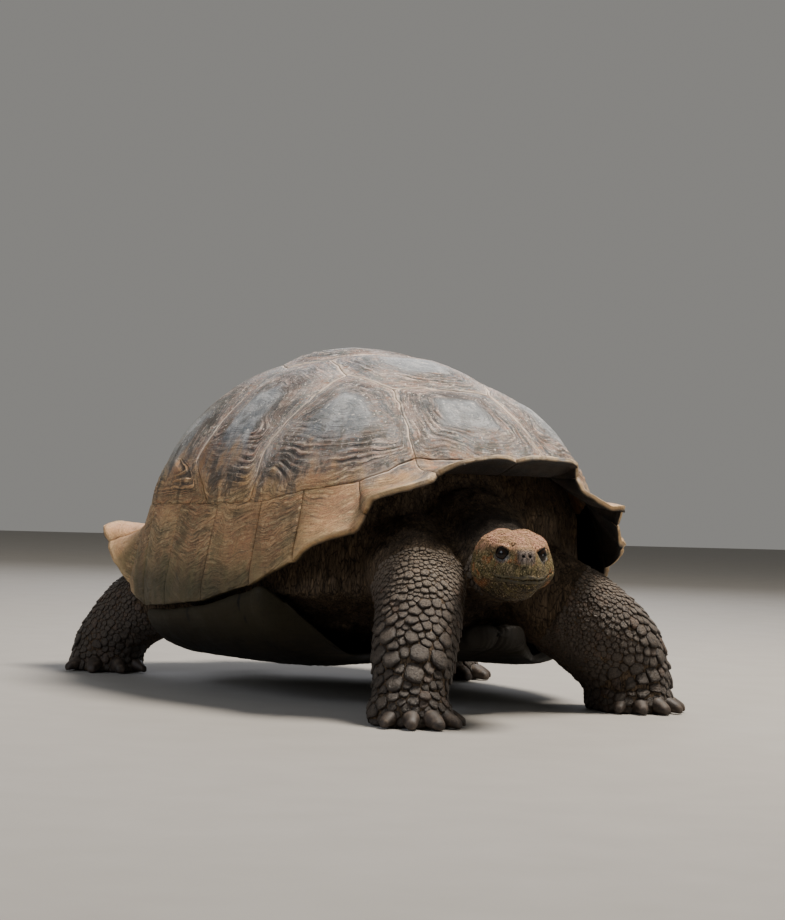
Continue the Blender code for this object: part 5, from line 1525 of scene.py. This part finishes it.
def wrinkledHide(name):
    # thick reptile skin: dry, matt and finely creased, with painted shade in the folds and painted highlights
    # on their crests
    material, add, shader, place = newMaterial(name, {"IOR": 1.45, "Specular IOR Level": 0.22})
    colour, blotch, onHead, collar = hideTint(add, place)
    hanging = add("Mapping", {"Vector": place, "Scale": (1.0, 1.0, 0.22)})
    folds = add("TexNoise", {"Vector": hanging, "Scale": 130.0, "Detail": 5.0, "Roughness": 0.62,
                             "Distortion": 0.4})
    creases = add("TexVoronoi", {"Vector": hanging, "Scale": 190.0}, feature="DISTANCE_TO_EDGE")
    beads = add("TexVoronoi", {"Vector": place, "Scale": 380.0})
    cracked = add("MapRange", {0: creases, 1: 0.0, 2: 0.10})
    body = add("MapRange", {0: onHead, 1: 0.0, 2: 1.0, 3: 0.80, 4: 0.15})
    paler = add("MapRange", {0: onHead, 1: 0.0, 2: 1.0, 3: 0.40, 4: 0.0})
    colour = add("Mix", {0: paler, 6: colour, 7: "#62523E"}, 2, data_type="RGBA")
    # painted shade in the troughs of the folds and painted highlight on their crests, from the same noise as
    # the bump; then dark creases and pale blotches
    colour = coat(add, colour, (
        (folds, 0.46, 0.34, body, "#0D0A06"), (folds, 0.54, 0.66, 0.50, "#76624A"),
        (creases, 0.10, 0.0, 0.8, "#130D09"), (blotch, 0.52, 0.72, 0.25, "#7C6A5A")))
    # painted shade of the shell's front rim across the top of the neck just behind the head
    colour = add("Mix", {0: collar, 6: colour, 7: "#16110C"}, 2, data_type="RGBA")
    rough = add("MapRange", {0: blotch, 1: 0.3, 2: 0.7, 3: 0.70, 4: 0.88})
    relief = add("Math", {0: beads, 1: -0.5}, operation="MULTIPLY")
    relief = add("Math", {0: cracked, 1: 1.2, 2: relief}, operation="MULTIPLY_ADD")
    relief = add("Math", {0: folds, 1: 2.6, 2: relief}, operation="MULTIPLY_ADD")
    bump = add("Bump", {"Height": relief, "Strength": 0.9, "Distance": 0.0018})
    return finish(material, shader, {"Base Color": colour, "Roughness": rough, "Normal": bump})


def scaleHorn(name):
    # horny scales: dull grey brown, rubbed pale on their crowns and dark where they meet, with painted
    # sunlight high on the limbs and painted shade near the ground
    material, add, shader, place = newMaterial(name, {"IOR": 1.54})
    colour, blotch, onHead, collar = hideTint(add, place)
    tone, crest = (add("Attribute", output="Fac", attribute_name=key) for key in ("tone", "crest"))
    grit = add("TexNoise", {"Vector": place, "Scale": 420.0, "Detail": 4.0, "Roughness": 0.62})
    wrinkles = add("TexNoise", {"Vector": place, "Scale": 190.0, "Detail": 5.0, "Roughness": 0.66,
                                "Distortion": 0.8})
    limb = add("MapRange", {0: onHead, 1: 0.0, 2: 1.0, 3: 1.0, 4: 0.2})
    toned = add("Math", {0: tone, 1: limb}, operation="MULTIPLY")
    x, y, z = add("SeparateXYZ", {0: place}).node.outputs
    # painted sunlight: the limbs are painted paler from 0.20 m up
    upper = add("MapRange", {0: z, 1: 0.20, 2: 0.32, 4: 0.55})
    raised = add("Math", {0: blotch, 1: 0.5, 2: crest}, operation="MULTIPLY_ADD")
    rubbed = add("MapRange", {0: raised, 1: 0.85, 2: 1.35, 4: limb}, interpolation_type="SMOOTHSTEP")
    rubbed = add("Math", {0: rubbed, 1: 0.45}, operation="MULTIPLY")
    colour = coat(add, colour, ((toned, 0.0, 1.0, 0.75, "#40362C"), (toned, 0.88, 0.93, 0.5, "#5C3F2C")))
    colour = add("Mix", {0: rubbed, 6: colour, 7: "#6C6053"}, 2, data_type="RGBA")
    # painted sunlight high on the limbs and painted shade darkening everything below 0.22 m towards the
    # ground, then grit, wrinkles and the dark edges between scales
    colour = coat(add, colour, (
        (onHead, 1.0, 0.0, upper, "#8E7E6A"), (z, 0.22, 0.06, 0.50, "#17120E"),
        (grit, 0.48, 0.68, 0.5, "#2A211A"), (wrinkles, 0.46, 0.38, limb, "#1B1511"),
        (crest, 0.45, 0.05, 1.0, "#17100C")))
    rough = add("MapRange", {0: grit, 1: 0.35, 2: 0.7, 3: 0.40, 4: 0.70})
    relief = add("Math", {0: wrinkles, 1: 2.2, 2: grit}, operation="MULTIPLY_ADD")
    bump = add("Bump", {"Height": relief, "Strength": 0.9, "Distance": 0.0019})
    # the small scales of the face are dull, those of the limbs a little polished
    polish = add("MapRange", {0: onHead, 1: 0.0, 2: 1.0, 3: 0.38, 4: 0.12})
    return finish(material, shader, {"Base Color": colour, "Roughness": rough, "Normal": bump,
                                     "Specular IOR Level": polish})


def wetEye(name):
    # a near-black eye with a dark brown iris and a slate rim, under a clear wet surface
    settings = {"Roughness": 0.06, "IOR": 1.33, "Specular IOR Level": 0.5}
    material, add, shader, place = newMaterial(name, settings)
    outward = add("Attribute", output="Fac", attribute_name="fromPupil")
    streaks = add("TexNoise", {"Vector": place, "Scale": 830.0, "Detail": 4.0})
    colour = coat(add, "#100905", (
        (streaks, 0.35, 0.65, 1.0, "#25160C"), (outward, 0.32, 0.27, 1.0, "#020202"),
        (outward, 0.54, 0.62, 1.0, "#08090A"), (outward, 0.78, 0.86, 1.0, "#1C2124")))
    return finish(material, shader, {"Base Color": colour})


def lowerShellHorn(name):
    # the lower shell: scuffed dark olive horn with thin pale growth lines, its colour taken down to near
    # black as painted shade under the body, and lighter up the bridge
    material, add, shader, place = newMaterial(name, {"IOR": 1.54, "Specular IOR Level": 0.14})
    x, y, z = add("SeparateXYZ", {0: place}).node.outputs
    groove = add("Attribute", output="Fac", attribute_name="groove")
    level = add("Mapping", {"Vector": place, "Scale": (0.35, 0.35, 2.2)})
    blotch, grit, streaks = (
        add("TexNoise", {"Vector": source, "Scale": 1.0 / size, "Detail": 6.0, "Roughness": 0.62})
        for source, size in ((place, 0.05), (place, 0.003), (level, 0.020)))
    front = float(-0.455 + shift[1])
    # painted shade: a near-black base under the body, lightening with height up the bridge
    colour = coat(add, "#0E0B07", (
        (blotch, 0.35, 0.65, 1.0, "#17130C"), (streaks, 0.50, 0.68, 0.5, "#241D12"),
        (z, 0.080, 0.160, 0.60, "#2B2616"), (streaks, 0.48, 0.36, 0.6, "#221C11"),
        (y, front, front - 0.045, 0.8, "#1D1A17"), (grit, 0.50, 0.68, 0.5, "#100C08"),
        (groove, 0.35, 0.80, 1.0, "#0C0906")), "SMOOTHSTEP")
    rough = add("MapRange", {0: blotch, 1: 0.3, 2: 0.7, 3: 0.55, 4: 0.78})
    relief = add("Math", {0: streaks, 1: 1.5, 2: grit}, operation="MULTIPLY_ADD")
    bump = add("Bump", {"Height": relief, "Strength": 0.6, "Distance": 0.0010})
    return finish(material, shader, {"Base Color": colour, "Roughness": rough, "Normal": bump})


buildStage()
buildDomePlates(shellHorn("weatheredShadedShellHorn", False))
buildRimPlates(shellHorn("weatheredShadedRimHorn", True))
buildPlastron(lowerShellHorn("scuffedShadedLowerShellHorn"))
hide = buildSkin(wrinkledHide("wrinkledHide"))
buildEyes(wetEye("wetEye"))
buildBeak(hide, {"beakUpper": plainHorn("snoutHorn", ("#2B2519", "#4A4330", "#686046"), 0.008, 0.62),
                 "beakLower": plainHorn("jawHorn", ("#231E12", "#3A331F", "#554B30"), 0.008, 0.62)})
buildClaws(plainHorn("clawHorn", ("#1D1712", "#352B23", "#564A3E"), 0.012, 0.62))
scaleMaterial = scaleHorn("scaleHorn")
for limb in scaleSets:
    buildScales(limb, hide, scaleMaterial)
